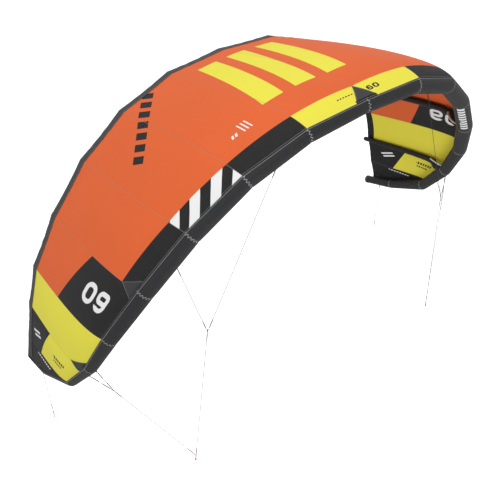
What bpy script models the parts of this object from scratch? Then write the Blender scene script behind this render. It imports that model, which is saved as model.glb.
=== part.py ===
"""Kitesurf kite: an inflatable leading-edge kite with five struts, a panelled canopy and its bridle.

Metres, +Z up. +X runs to the kite's right wing tip and +Y from the leading edge to the trailing edge.
The origin is the centre of the leading-edge tube at the kite's middle. The kite is in its flying
attitude, with the bridle drawn straight below it. The left half mirrors the right half.

Seams are numbered from the middle (0) to the end of the tip tube (9). A place on the canopy is given by
a span number on that scale and a chord fraction, from 0 at the leading edge to 1 at the trailing edge.
"""

import math

import bmesh
import bpy
from mathutils import Matrix, Vector
from mathutils.geometry import interpolate_bezier, intersect_point_line

# Leading-edge tube, one row for each bay from the middle: length, arc angle and sweep angle in degrees.
LE_BAYS = (
    (0.500, 3.7, 1.1),
    (0.480, 20.4, 8.5),
    (0.483, 39.1, 16.0),
    (0.515, 50.7, 19.2),
    (0.493, 59.0, 24.2),
    (0.427, 73.6, 31.8),
    (0.451, 78.9, 44.0),
    (0.491, 79.3, 67.6),
    (0.348, 100.9, 78.7),
)
LE_RADII = (0.062, 0.063, 0.065, 0.067, 0.067, 0.063, 0.056, 0.051, 0.044, 0.0375)
LE_SIDES = 20
LE_BLADDER_SIDES = 12
MIDDLE_SEAM_ANGLE = -37.0      # where the canopy is sewn to the tube, degrees behind its top
SEAM_ANGLE_ENDS = 5            # the seam number from which it is sewn on top
SEAM_ANGLE_POWER = 1.4

# Canopy. Chords run from the tube's centre to the trailing edge at each seam.
CHORDS = (1.585, 1.565, 1.515, 1.450, 1.340, 1.187, 1.022, 0.737, 0.290, -0.050)
TAIL_HEIGHTS = (0.0, 0.0, 0.0, 0.0, 0.0, 0.0, 0.0, 0.015, 0.030, 0.040)
CAMBER_FRONT = (0.15, 0.115)   # front handle of the camber curve: along and above the chord, per chord
CAMBER_REAR = (0.55, 0.055)    # rear handle
BAY_BULGE = 0.018              # how far the cloth of a bay stands out between its seams
TAIL_SCALLOP = 0.012           # how far the trailing edge curves in between two seams
CANOPY_END = 8.8               # span number where the trailing edge meets the tip tube
CANOPY_BREAKS = (0, 4, 6)      # the canopy's cloths meet over the struts
CANOPY_NAMES = ("inner", "middle", "tip")
CHORD_ROWS = (0.0, 0.015, 0.03, 0.05, 0.08, 0.13, 0.20, 0.30, 0.42, 0.56, 0.70, 0.85)
BAY_COLUMNS = 3

# Cloth thicknesses and clearances.
CLOTH = 0.0008
SLEEVE = 0.0012
BLADDER_WALL = 0.0010
GAP = 0.0004
SEAM_GAP = 0.0010              # between two panels of the tube, which slant to meet
BLADDER_GAP = 0.0018
STRUT_BLADDER_GAP = 0.0030
SEWN_CLEARANCE = 0.0026        # middle of the canopy cloth off the tube where it is sewn on
HEM_END = 8.0                  # span number where the hem ends
HEM_LIFT = 0.0032              # middle of the hem above the middle of the canopy cloth
PATCH_LIFT = 0.0026            # the same for the load patches
SLOPE_STEP = 0.02              # step in which the canopy's slope is taken

# Struts.
STRUTS = (("centre", 0, 1), ("inner_left", 4, -1), ("inner_right", 4, 1),
          ("outer_left", 6, -1), ("outer_right", 6, 1))
STRUT_RADIUS = (0.031, 0.022)  # at the leading edge and at the trailing edge
KNEE_RUN = 0.06                # from the strut's first bend to where it lies along the canopy
STRUT_ROOT = 0.018             # from the tube's surface to the strut's first bend
PORT_DEPTH = 0.010
STRUT_DROP = 0.0032            # clearance between the strut's top and the middle of the canopy cloth
STRUT_OVERHANG = 0.030
STRUT_RISE = 0.24              # length over which the strut climbs from the tube to the canopy
STRUT_SIDES = 10
BLADDER_SIDES = 8
STRUT_STATIONS = 7
STRUT_END = ((0.015, 0.85), (0.025, 0.35))   # rounded end: distance on and share of the radius

# Sewn-on skins.
TAIL_BAND_WIDTH = 0.058
HEM_SHORTEST_CHORD = 0.20      # below this chord the hem narrows no further in chord fractions
PATCH_HALF_WIDTH = 0.085
PATCH_FRONT = 0.015                            # chord fraction of its front edge
PATCH_POINTS = {0: 0.149, 4: 0.175, 6: 0.230}  # chord fraction of its point, by seam number
PATCH_SHARES = (0.0, 0.13, 0.3, 0.56, 1.0)     # its rows, from front to point

# Inflation valve, on the underside of the tube just right of the middle.
VALVE_SPAN = 0.30
VALVE_ANGLE = 125.0            # degrees behind the tube's top
VALVE_BORE = 0.007
VALVE_STEM = 0.009
VALVE_FLANGE = 0.020
VALVE_NECK = 0.013
VALVE_NECK_TOP = 0.0145
VALVE_HINGE = 0.0195
CAP_RADIUS = 0.0145
CAP_THICKNESS = 0.004

# Hoses that carry air from the tube to the struts.
HOSE_RADIUS = 0.0065
HOSE_WALL = 0.0015
HOSE_SIDE = 0.062              # where it leaves the tube, beside the strut
HOSE_BOW = 0.034
HOSE_SIDES = 8
HOSE_RINGS = 8

# Tip cap.
CAP_SKIRT = 0.028
CAP_WALL = 0.0015
CAP_EASE = 0.0014              # the cup clears the tube, which widens inwards

# Bridle of the right side.
LINE_RADIUS = 0.0018
SLEEVED = 1.5                  # the sleeved ends are this much thicker than the bare line
SLEEVE_LENGTH = 0.10
LINE_SIDES = 8
LINE_POINTS = 6
UPPER_YOKE_ENDS = (1.52, 3.50)     # span numbers of the attachment points
LOWER_YOKE_ENDS = (6.05, 6.38)
LINE_STANDOFF = 0.006
UPPER_KNOT = Vector((1.242, 0.294, -1.364))
LOWER_KNOT = Vector((1.853, 0.751, -1.862))
FRONT_POINT = Vector((1.399, 0.510, -2.749))
YOKE_BEND = 0.009
BEND_STEPS = 5
KNOT_SWELL = 2.6
KNOT_LENGTH = 0.012
MARK_GAP = 0.0015              # the least distance between two points of a line
JOIN_CLEARANCE = 0.012
OPEN_CLEARANCE = 0.022         # where the closed loop of lines is left open
PIGTAIL_LENGTH = 0.050
BACK_SPAN = 8.50
BACK_END = Vector((2.038, 1.819, -2.759))
BACK_PIGTAIL = {"left": 0.115, "right": 0.0}

SIDES = (("left", -1), ("right", 1))
CLOSE = 0.00001


# ---------------------------------------------------------------- scene, materials and helpers

def clear_scene():
    for obj in list(bpy.data.objects):
        bpy.data.objects.remove(obj, do_unlink=True)


def make_collection(name):
    collection = bpy.data.collections.new(name)
    bpy.context.scene.collection.children.link(collection)
    return collection


def material(name, colour, roughness, metallic=0.0):
    mat = bpy.data.materials.get(name)
    if mat is None:
        mat = bpy.data.materials.new(name)
        mat.use_nodes = True
        shader = mat.node_tree.nodes["Principled BSDF"]
        shader.inputs["Base Color"].default_value = (*colour, 1.0)
        shader.inputs["Roughness"].default_value = roughness
        shader.inputs["Metallic"].default_value = metallic
    return mat


def dacron():
    return material("black_dacron", (0.035, 0.036, 0.039), 0.62)


def strut_dacron():
    return material("strut_dacron", (0.010, 0.010, 0.011), 0.65)


def orange_cloth():
    return material("orange_ripstop", (0.66, 0.13, 0.04), 0.50)


def tip_cloth():
    return material("tip_ripstop", (0.70, 0.66, 0.08), 0.50)


def black_cloth():
    return material("black_reinforcement", (0.030, 0.031, 0.033), 0.60)


def bladder_film():
    return material("bladder_film", (0.75, 0.76, 0.74), 0.35)


def valve_plastic():
    return material("valve_plastic", (0.05, 0.05, 0.055), 0.40)


def hose_rubber():
    return material("hose_silicone", (0.62, 0.62, 0.60), 0.45)


def grey_line():
    return material("bridle_line", (0.45, 0.45, 0.46), 0.70)


def red_line():
    return material("red_pigtail", (0.52, 0.03, 0.04), 0.65)


def place(name, mesh, mat, smooth=True):
    """Put a mesh into the kite's collection as one named piece."""
    obj = bpy.data.objects.new(name, mesh)
    KITE.objects.link(obj)
    mesh.materials.clear()
    mesh.materials.append(mat)
    if smooth:
        mesh.shade_smooth()
        mesh.set_sharp_from_angle(angle=math.radians(40))
    return obj


def as_cutter(obj):
    """Move an object to the cutters, which aren't part of the kite."""
    for collection in list(obj.users_collection):
        collection.objects.unlink(obj)
    CUTTERS.objects.link(obj)
    obj.hide_render = True
    obj.display_type = "WIRE"
    return obj


def solidify(obj, thickness, offset):
    shell = obj.modifiers.new("cloth", "SOLIDIFY")
    shell.thickness = thickness
    shell.offset = offset
    shell.use_even_offset = True
    return shell


def boolean(obj, cutter, operation="DIFFERENCE"):
    cut = obj.modifiers.new(operation.lower(), "BOOLEAN")
    cut.operation = operation
    cut.object = cutter
    cut.solver = "EXACT"
    return cut


def tube_mesh(name, points, radii, sides, caps=True, twist="MINIMUM"):
    """A round tube along points, as a welded mesh, from a bevelled poly curve."""
    largest = max(radii)
    curve = bpy.data.curves.new(name, "CURVE")
    curve.dimensions = "3D"
    curve.bevel_depth = largest
    curve.bevel_resolution = (sides - 4) // 2
    curve.use_fill_caps = caps
    curve.twist_mode = twist
    spline = curve.splines.new("POLY")
    spline.points.add(len(points) - 1)
    for target, point, radius in zip(spline.points, points, radii):
        target.co = (*point, 1.0)
        target.radius = radius / largest
    guide = bpy.data.objects.new(name, curve)
    CUTTERS.objects.link(guide)
    depsgraph = bpy.context.evaluated_depsgraph_get()
    mesh = bpy.data.meshes.new_from_object(guide.evaluated_get(depsgraph))
    mesh.name = name
    bpy.data.objects.remove(guide, do_unlink=True)
    bm = bmesh.new()
    bm.from_mesh(mesh)
    bmesh.ops.remove_doubles(bm, verts=bm.verts, dist=CLOSE)
    if caps:
        bmesh.ops.recalc_face_normals(bm, faces=bm.faces)
    bm.to_mesh(mesh)
    bm.free()
    return mesh


def turned_mesh(name, profile, steps, matrix):
    """A closed profile of (radius, height) points turned about its axis, then set in place."""
    bm = bmesh.new()
    ring = [bm.verts.new((radius, 0.0, height)) for radius, height in profile]
    edges = [bm.edges.new((a, b)) for a, b in zip(ring, ring[1:] + ring[:1])]
    if profile[0][0] == 0.0:
        bm.edges.remove(edges[-1])
        edges.pop()
    geometry = ring + edges
    bmesh.ops.spin(bm, geom=geometry, axis=(0, 0, 1), cent=(0, 0, 0), angle=math.tau, steps=steps,
                   use_merge=True, use_duplicate=False)
    bmesh.ops.remove_doubles(bm, verts=bm.verts, dist=CLOSE)
    bmesh.ops.recalc_face_normals(bm, faces=bm.faces)
    bm.transform(matrix)
    mesh = bpy.data.meshes.new(name)
    bm.to_mesh(mesh)
    bm.free()
    return mesh


def hang_from(obj, pivot):
    """Put a moving piece's origin on its joint's axis."""
    obj.data.transform(Matrix.Translation(-pivot))
    obj.location = pivot


def upright(axis, origin):
    """A matrix that turns +Z onto axis and moves the origin."""
    turn = Vector((0, 0, 1)).rotation_difference(axis).to_matrix().to_4x4()
    return Matrix.Translation(origin) @ turn


# ---------------------------------------------------------------- the kite's lines

def joint_points():
    """Centres of the leading-edge tube at its seams, from the middle to the right tip."""
    points = [Vector((0.0, 0.0, 0.0))]
    for length, arc, sweep in LE_BAYS:
        arc = math.radians(arc)
        sweep = math.radians(sweep)
        along = math.cos(sweep)
        step = Vector((math.cos(arc) * along, math.sin(sweep), -math.sin(arc) * along))
        points.append(points[-1] + length * step)
    return points


def joint_axes(points):
    """Direction of the tube at each seam, halfway between its two bays."""
    steps = [(b - a).normalized() for a, b in zip(points, points[1:])]
    axes = [Vector((1.0, 0.0, 0.0))]
    axes += [(a + b).normalized() for a, b in zip(steps, steps[1:])]
    axes.append(steps[-1])
    return axes


def rib_normals():
    """Outward direction of the canopy at each seam, across the chord."""
    arcs = [arc for _, arc, _ in LE_BAYS]
    joint_arcs = [0.0] + [(a + b) / 2 for a, b in zip(arcs, arcs[1:])] + [arcs[-1]]
    return [Vector((math.sin(math.radians(a)), 0.0, math.cos(math.radians(a)))) for a in joint_arcs]


JOINTS = joint_points()
AXES = joint_axes(JOINTS)
NORMALS = rib_normals()
BACK = Vector((0.0, 1.0, 0.0))
LAST = len(JOINTS) - 1


def mirrored(point, side):
    return Vector((point.x * side, point.y, point.z))


def around_tube(i, degrees, radius):
    """A point on the tube's seam i, degrees behind its top."""
    back = (BACK - BACK.dot(AXES[i]) * AXES[i]).normalized()
    out = AXES[i].cross(back)
    if out.dot(NORMALS[i]) < 0:
        out = -out
    angle = math.radians(degrees)
    return JOINTS[i] + radius * (math.cos(angle) * out + math.sin(angle) * back)


def seam_angle(i):
    return MIDDLE_SEAM_ANGLE * max(0.0, 1 - i / SEAM_ANGLE_ENDS) ** SEAM_ANGLE_POWER


def rib_handles(i):
    """The four control points of the camber curve at seam i."""
    chord = CHORDS[i]
    start = around_tube(i, seam_angle(i), LE_RADII[i] + SEWN_CLEARANCE)
    front = JOINTS[i] + CAMBER_FRONT[0] * chord * BACK + CAMBER_FRONT[1] * chord * NORMALS[i]
    rear = JOINTS[i] + CAMBER_REAR[0] * chord * BACK + CAMBER_REAR[1] * chord * NORMALS[i]
    tail = JOINTS[i] + chord * BACK + TAIL_HEIGHTS[i] * NORMALS[i]
    return start, front, rear, tail


HANDLES = [rib_handles(i) for i in range(LAST + 1)]


def bay_of(span):
    """The bay that a span number lies in, and the share of the bay before it."""
    bay = min(int(span), LAST - 1)
    return bay, span - bay


def at_span(values, span):
    bay, share = bay_of(span)
    return values[bay] * (1 - share) + values[bay + 1] * share


def clear_of_tube(point, span):
    """Push a point of the cloth out to the surface of the tube that it would cut."""
    first = max(0, int(span) - 1)
    for bay in range(first, min(LAST, int(span) + 2)):
        foot, share = intersect_point_line(point, JOINTS[bay], JOINTS[bay + 1])
        share = min(max(share, 0.0), 1.0)
        foot = JOINTS[bay].lerp(JOINTS[bay + 1], share)
        radius = LE_RADII[bay] * (1 - share) + LE_RADII[bay + 1] * share + SEWN_CLEARANCE
        away = point - foot
        if away.length < radius:
            point = foot + away.normalized() * radius
    return point


def canopy_point(span, chord, lift=0.0):
    """The canopy at a span number and chord fraction, on the right half."""
    start, front, rear, tail = (at_span([handle[k] for handle in HANDLES], span) for k in range(4))
    rest = 1 - chord
    point = rest ** 3 * start + 3 * rest ** 2 * chord * front
    point = point + 3 * rest * chord ** 2 * rear + chord ** 3 * tail
    normal = at_span(NORMALS, span).normalized()
    _, share = bay_of(span)
    middle = 4 * share * (1 - share)
    tip_fade = min(1.0, max(0.0, LAST - 1 - span) / 2)
    fill = (1 - rest ** 8) * (1 - chord ** 6)
    point = point + normal * (BAY_BULGE * middle * fill * tip_fade)
    point = point - BACK * (TAIL_SCALLOP * middle * chord ** 4 * tip_fade)
    point = clear_of_tube(point, span)
    if lift:
        point = point + canopy_normal(span, chord) * lift
    return point


def canopy_normal(span, chord):
    """Outward direction of the canopy's surface."""
    low_span, high_span = max(0.0, span - SLOPE_STEP), min(LAST, span + SLOPE_STEP)
    low_chord, high_chord = max(0.0, chord - SLOPE_STEP), min(1.0, chord + SLOPE_STEP)
    across = canopy_point(high_span, chord) - canopy_point(low_span, chord)
    along = canopy_point(span, high_chord) - canopy_point(span, low_chord)
    if span == 0.0:
        across = Vector((1.0, 0.0, 0.0))
    return across.cross(along).normalized()


def tube_centre(span):
    return at_span(JOINTS, span)


# ---------------------------------------------------------------- leading edge

def slide_ring(bm, vertices, along, plane_point, plane_normal):
    """Slide the vertices of a tube's end along the tube until they lie in a plane."""
    for vertex in vertices:
        distance = (plane_point - vertex.co).dot(plane_normal) / along.dot(plane_normal)
        vertex.co += along * distance


def leading_edge_panel(name, first, last, side):
    """One Dacron panel of the tube, between the mitred seams first and last."""
    centres = [mirrored(p, side) for p in JOINTS[first:last + 1]]
    mesh = tube_mesh(name, centres, LE_RADII[first:last + 1], LE_SIDES, caps=False)
    start_axis = mirrored(AXES[first], side)
    end_axis = mirrored(AXES[last], side)
    start_step = (centres[1] - centres[0]).normalized()
    end_step = (centres[-1] - centres[-2]).normalized()
    bm = bmesh.new()
    bm.from_mesh(mesh)
    start_ring = [v for v in bm.verts if abs((v.co - centres[0]).dot(start_step)) < CLOSE]
    end_ring = [v for v in bm.verts if abs((v.co - centres[-1]).dot(end_step)) < CLOSE]
    if side < 0 and first == 0:
        start_axis = -start_axis
    slide_ring(bm, start_ring, start_step, centres[0] + start_step * SEAM_GAP / 2, start_axis)
    slide_ring(bm, end_ring, end_step, centres[-1] - end_step * SEAM_GAP / 2, end_axis)
    bm.to_mesh(mesh)
    bm.free()
    obj = place(name, mesh, dacron())
    solidify(obj, SLEEVE, -1.0)
    return obj


def leading_edge():
    for label, side in SIDES:
        for bay in range(LAST - 2):
            leading_edge_panel(f"leading_edge_panel_{bay + 1}_{label}", bay, bay + 1, side)
        leading_edge_panel(f"leading_edge_tip_{label}", LAST - 2, LAST, side)


def whole_tube():
    """Centres and radii of the whole tube, from the left tip to the right tip."""
    right = JOINTS[1:]
    left = [mirrored(p, -1) for p in reversed(right)]
    radii = LE_RADII[:0:-1] + LE_RADII
    return left + [JOINTS[0]] + right, radii


def leading_edge_cutter():
    """The tube's volume with its clearance, to shape the struts' front ends."""
    centres, radii = whole_tube()
    outside = 1 / math.cos(math.pi / LE_SIDES)
    mesh = tube_mesh("leading_edge_volume", centres, [(r + GAP) * outside for r in radii], LE_SIDES)
    return as_cutter(place("leading_edge_volume", mesh, dacron()))


def leading_edge_bladder(port):
    centres, radii = whole_tube()
    inside = SLEEVE + BLADDER_GAP
    for end, inner in ((0, 1), (-1, -2)):
        centres[end] = centres[end] + (centres[inner] - centres[end]).normalized() * CAP_SKIRT / 2
    mesh = tube_mesh("leading_edge_bladder", centres, [r - inside for r in radii], LE_BLADDER_SIDES)
    obj = place("leading_edge_bladder", mesh, bladder_film())
    solidify(obj, BLADDER_WALL, -1.0)
    boolean(obj, port)


def tip_caps():
    """Cups that close the two ends of the tube."""
    inner = LE_RADII[-1] + CAP_EASE
    outer = inner + CAP_WALL
    profile = ((0.0, GAP), (inner, GAP), (inner, -CAP_SKIRT), (outer, -CAP_SKIRT), (outer, CAP_WALL),
               (outer - CAP_WALL, 2 * CAP_WALL), (0.0, 2 * CAP_WALL))
    for label, side in SIDES:
        name = f"tip_cap_{label}"
        axis = mirrored(AXES[-1], side)
        mesh = turned_mesh(name, profile, 24, upright(axis, mirrored(JOINTS[-1], side)))
        place(name, mesh, black_cloth())


# ---------------------------------------------------------------- struts

def strut_radius(chord):
    front, rear = STRUT_RADIUS
    return front + (rear - front) * chord


def strut_centre(i, chord):
    """Centre of the strut under seam i: it leaves the tube's back and climbs to the canopy."""
    top = canopy_point(i, chord)
    height = (top - JOINTS[i]).dot(NORMALS[i]) - strut_radius(chord) - STRUT_DROP
    distance = (top - JOINTS[i]).dot(BACK)
    climb = min(1.0, max(0.0, distance / STRUT_RISE))
    climb = climb * climb * (3 - 2 * climb)
    return JOINTS[i] + BACK * distance + NORMALS[i] * (height * climb)


def strut_start(i):
    """The first chord fraction where the strut lies along the canopy, clear of its knee."""
    clear = (strut_knee(i) - JOINTS[i]).dot(BACK) + KNEE_RUN
    chord = 0.0
    while (canopy_point(i, chord) - JOINTS[i]).dot(BACK) < clear:
        chord += SLOPE_STEP
    return chord


def strut_line(i):
    """Centres and radii of the strut under seam i, along the canopy."""
    start = strut_start(i)
    chords = [start + (1 - start) * k / STRUT_STATIONS for k in range(STRUT_STATIONS + 1)]
    return [strut_centre(i, chord) for chord in chords], [strut_radius(chord) for chord in chords]


def strut_knee(i):
    """Where the strut leaves the tube's back: further behind where the tube is swept."""
    swept = abs(AXES[i].y)
    distance = (LE_RADII[i] + STRUT_ROOT + STRUT_RADIUS[0] * swept) / math.sqrt(1 - swept ** 2)
    return JOINTS[i] + BACK * distance


def strut_sleeve(i):
    """Centres and radii of a strut's sleeve, from inside the tube to its rounded rear end."""
    centres, radii = strut_line(i)
    root = JOINTS[i] + BACK * (LE_RADII[i] / 3)
    direction = (centres[-1] - centres[-2]).normalized()
    tail = centres[-1] + direction * (STRUT_OVERHANG - STRUT_END[-1][0])
    ends = [tail] + [tail + direction * distance for distance, _ in STRUT_END]
    end_radii = [radii[-1]] + [radii[-1] * share for _, share in STRUT_END]
    return [root, strut_knee(i)] + centres + ends, [radii[0]] * 2 + radii + end_radii


def struts(tube_volume):
    for label, seam, side in STRUTS:
        centres, radii = strut_sleeve(seam)
        name = f"strut_{label}"
        sides_centres = [mirrored(p, side) for p in centres]
        obj = place(name, tube_mesh(name, sides_centres, radii, STRUT_SIDES), strut_dacron())
        solidify(obj, SLEEVE, -1.0)
        boolean(obj, tube_volume)


def strut_bladders():
    inset = SLEEVE + STRUT_BLADDER_GAP
    for label, seam, side in STRUTS:
        line, widths = strut_line(seam)
        centres = [mirrored(p, side) for p in [strut_knee(seam)] + line]
        radii = [r - inset for r in widths[:1] + widths]
        name = f"strut_bladder_{label}"
        obj = place(name, tube_mesh(name, centres, radii, BLADDER_SIDES), bladder_film())
        solidify(obj, BLADDER_WALL, -1.0)
        port_line = [centres[0] - BACK * PORT_DEPTH, centres[0] + BACK * PORT_DEPTH]
        port_mesh = tube_mesh(name + "_port", port_line, [HOSE_RADIUS / 2] * 2, BLADDER_SIDES)
        boolean(obj, as_cutter(place(name + "_port", port_mesh, bladder_film())))


# ---------------------------------------------------------------- canopy and what is sewn on it

def sheet(name, span_values, chord_rows, side, mat, thickness, lift=0.0):
    """A cloth over a grid of canopy places. chord_rows(span) gives the chord fractions of a column."""
    bm = bmesh.new()
    columns = []
    for span in span_values:
        half = side if side else (-1 if span < 0 else 1)
        points = [canopy_point(abs(span), chord, lift) for chord in chord_rows(span)]
        columns.append([bm.verts.new(mirrored(p, half)) for p in points])
    for left, right in zip(columns, columns[1:]):
        for a, b, c, d in zip(left, right, right[1:], left[1:]):
            bm.faces.new((a, b, c, d))
    bmesh.ops.recalc_face_normals(bm, faces=bm.faces)
    mesh = bpy.data.meshes.new(name)
    bm.to_mesh(mesh)
    bm.free()
    obj = place(name, mesh, mat)
    solidify(obj, thickness, 0.0)
    return obj


def columns_between(first, last):
    """Span numbers from first to last that include every seam between them."""
    values = []
    for bay in range(int(first), math.ceil(last)):
        start, end = max(first, bay), min(last, bay + 1)
        values += [start + (end - start) * k / BAY_COLUMNS for k in range(BAY_COLUMNS)]
    return values + [last]


def tail_rows(span):
    """Chord fractions of the hem's front, middle and back."""
    chord = max(abs(at_span(CHORDS, abs(span))), HEM_SHORTEST_CHORD)
    front = 1 - TAIL_BAND_WIDTH / chord
    return [front, (1 + front) / 2, 1.0]


def canopy_rows(span):
    """Chord fractions of the canopy's rows, with those of the hem that lies on it."""
    hem = tail_rows(span)
    return [chord for chord in CHORD_ROWS if chord < hem[0] - 0.02] + hem


def canopy():
    limits = list(CANOPY_BREAKS) + [CANOPY_END]
    for label, side in SIDES:
        for part, first, last in zip(CANOPY_NAMES, limits, limits[1:]):
            step = GAP / LE_BAYS[first][0]
            columns = columns_between(first + step, last - step if last != CANOPY_END else last)
            cloth = tip_cloth() if part == "tip" else orange_cloth()
            sheet(f"canopy_{part}_{label}", columns, canopy_rows, side, cloth, CLOTH)


def tail_band():
    """The reinforced hem along the whole trailing edge, on top of the canopy."""
    columns = columns_between(0, HEM_END)
    whole = [-span for span in reversed(columns[1:])] + columns
    sheet("trailing_edge_band", whole, tail_rows, 0, black_cloth(), CLOTH, HEM_LIFT)


def load_patch(name, seam, side):
    """A triangular reinforcement over a strut's front end, narrowing towards the back."""
    width = PATCH_HALF_WIDTH / LE_BAYS[seam][0]
    shares = (-1.0, -0.5, 0.0, 0.5, 1.0)
    bm = bmesh.new()
    grid = []
    for share in PATCH_SHARES:
        chord = PATCH_FRONT + (PATCH_POINTS[seam] - PATCH_FRONT) * share
        line = []
        for place_across in shares:
            span = seam + place_across * width * max(1 - share, 0.05)
            half = side * (-1 if span < 0 else 1)
            line.append(bm.verts.new(mirrored(canopy_point(abs(span), chord, PATCH_LIFT), half)))
        grid.append(line)
    for near, far in zip(grid, grid[1:]):
        for a, b, c, d in zip(near, near[1:], far[1:], far):
            bm.faces.new((a, b, c, d))
    bmesh.ops.recalc_face_normals(bm, faces=bm.faces)
    mesh = bpy.data.meshes.new(name)
    bm.to_mesh(mesh)
    bm.free()
    solidify(place(name, mesh, black_cloth()), CLOTH, 0.0)


def load_patches():
    for label, seam, side in STRUTS:
        load_patch(f"load_patch_{label}", seam, side)


# ---------------------------------------------------------------- valve and hoses

def valve_frame():
    """The valve's seat on the tube and its outward direction."""
    centre = tube_centre(VALVE_SPAN)
    axis = (JOINTS[1] - JOINTS[0]).normalized()
    back = (BACK - BACK.dot(axis) * axis).normalized()
    up = axis.cross(back)
    angle = math.radians(VALVE_ANGLE)
    out = math.cos(angle) * up + math.sin(angle) * back
    return centre + out * (LE_RADII[0] + GAP), out, axis


def valve_port():
    """The round opening for the valve's stem, through the tube and the bladder."""
    seat, out, _ = valve_frame()
    mesh = tube_mesh("valve_port", [seat - out * 0.02, seat + out * 0.01], [VALVE_STEM + GAP] * 2, 24)
    return as_cutter(place("valve_port", mesh, valve_plastic()))


def valve():
    seat, out, axis = valve_frame()
    profile = ((VALVE_BORE, -0.014), (VALVE_STEM, -0.014), (VALVE_STEM, 0.001), (VALVE_FLANGE, 0.001),
               (VALVE_FLANGE, 0.003), (VALVE_NECK, 0.0045), (VALVE_NECK, VALVE_NECK_TOP),
               (VALVE_BORE, VALVE_NECK_TOP))
    matrix = upright(out, seat)
    place("inflation_valve_body", turned_mesh("inflation_valve_body", profile, 32, matrix), valve_plastic())
    bottom = VALVE_NECK_TOP + GAP
    top = bottom + CAP_THICKNESS
    disc = ((0.0, bottom), (CAP_RADIUS - 0.001, bottom), (CAP_RADIUS, bottom + 0.001),
            (CAP_RADIUS, top - 0.001), (CAP_RADIUS - 0.001, top), (0.0, top))
    cap = place("inflation_valve_cap", turned_mesh("inflation_valve_cap", disc, 32, matrix), valve_plastic())
    across = out.cross(axis).normalized()
    lug_mesh = bpy.data.meshes.new("valve_cap_lug")
    bm = bmesh.new()
    bmesh.ops.create_cube(bm, size=1.0)
    lug_frame = Matrix((axis, across, out)).transposed().to_4x4()
    centre = seat + out * (bottom + CAP_THICKNESS / 2) + axis * (CAP_RADIUS + VALVE_HINGE) / 2
    size = Matrix.Diagonal((VALVE_HINGE - CAP_RADIUS + 0.006, 0.008, CAP_THICKNESS - 0.001, 1.0))
    bm.transform(Matrix.Translation(centre) @ lug_frame @ size)
    bmesh.ops.recalc_face_normals(bm, faces=bm.faces)
    bm.to_mesh(lug_mesh)
    bm.free()
    boolean(cap, as_cutter(place("valve_cap_lug", lug_mesh, valve_plastic())), "UNION")
    hang_from(cap, seat + out * bottom + axis * VALVE_HINGE)


def hoses():
    """Short hoses from the tube's back to the side of each strut."""
    for label, seam, side in STRUTS:
        inward = -1 if seam else 1
        step = JOINTS[seam + inward] - JOINTS[seam]
        axis = step.normalized()
        normal = NORMALS[seam]
        start_centre = JOINTS[seam] + axis * HOSE_SIDE
        radius = LE_RADII[seam] + HOSE_RADIUS * 0.8
        leave = (BACK - normal * 0.55).normalized()
        leave = (leave - leave.dot(axis) * axis).normalized()
        start = start_centre + leave * (radius + GAP)
        side_way = (axis - axis.dot(BACK) * BACK).normalized()
        enter_centre = strut_centre(seam, strut_start(seam) + SLOPE_STEP)
        enter = enter_centre + (side_way - normal * 0.5).normalized() * (STRUT_RADIUS[0] + HOSE_RADIUS)
        first = start + leave * HOSE_BOW
        second = enter + (side_way - normal * 0.5).normalized() * HOSE_BOW
        points = interpolate_bezier(start, first, second, enter, HOSE_RINGS)
        centres = [mirrored(p, side) for p in points]
        name = f"air_hose_{label}"
        mesh = tube_mesh(name, centres, [HOSE_RADIUS] * HOSE_RINGS, HOSE_SIDES, caps=False)
        solidify(place(name, mesh, hose_rubber()), HOSE_WALL, -1.0)


# ---------------------------------------------------------------- bridle

def under_tube(span, target):
    """The point just off the tube's surface that faces target."""
    centre = tube_centre(span)
    bay, _ = bay_of(span)
    axis = (JOINTS[bay + 1] - JOINTS[bay]).normalized()
    way = target - centre
    way = (way - way.dot(axis) * axis).normalized()
    return centre + way * (at_span(LE_RADII, span) + LINE_STANDOFF)


def straight(start, end, count):
    return [start.lerp(end, k / (count - 1)) for k in range(count)]


def line_radii(points, knotted=False):
    """Radius along a line: sleeved ends, and a knot's swelling at both ends of a knotted one."""
    lengths = [0.0]
    for a, b in zip(points, points[1:]):
        lengths.append(lengths[-1] + (b - a).length)
    total = lengths[-1]
    radii = []
    for length in lengths:
        from_end = min(length, total - length)
        radius = LINE_RADIUS * (SLEEVED if from_end < SLEEVE_LENGTH else 1.0)
        if knotted and from_end < KNOT_LENGTH * 0.8:
            radius = LINE_RADIUS * KNOT_SWELL
        radii.append(radius)
    return radii


def sleeved_run(start, end, count):
    """Points along a straight line, with pairs at the ends of its sleeves and knots."""
    total = (end - start).length
    marks = [0.0, KNOT_LENGTH * 0.7, KNOT_LENGTH, SLEEVE_LENGTH - 0.002, SLEEVE_LENGTH + 0.002]
    inner = [SLEEVE_LENGTH + (total - 2 * SLEEVE_LENGTH) * k / (count + 1) for k in range(1, count + 1)]
    values = sorted(marks + inner + [total - mark for mark in marks])
    spaced = [value for near, value in zip([-1.0] + values, values) if value - near > MARK_GAP]
    return [start.lerp(end, value / total) for value in spaced]


def yoke_points(start, knot, end):
    """A line from start round a small bend at knot and back up to end."""
    to_start = (start - knot).normalized()
    to_end = (end - knot).normalized()
    half = to_start.angle(to_end) / 2
    middle = (to_start + to_end).normalized()
    centre = knot + middle * YOKE_BEND
    normal = to_end.cross(to_start).normalized()
    sweep = math.pi - 2 * half
    begin = normal.cross(to_start).normalized() * YOKE_BEND
    turns = [sweep * k / BEND_STEPS for k in range(BEND_STEPS + 1)]
    arc = [centre + Matrix.Rotation(turn, 3, normal) @ begin for turn in turns]
    down = sleeved_run(start, arc[0], LINE_POINTS // 2)
    up = sleeved_run(arc[-1], end, LINE_POINTS // 2)
    return down + arc[1:-1] + up


def line_piece(name, points, radii, side, mat, pivot):
    centres = [mirrored(p, side) for p in points]
    obj = place(name, tube_mesh(name, centres, radii, LINE_SIDES, twist="Z_UP"), mat)
    hang_from(obj, mirrored(pivot, side))


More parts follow.
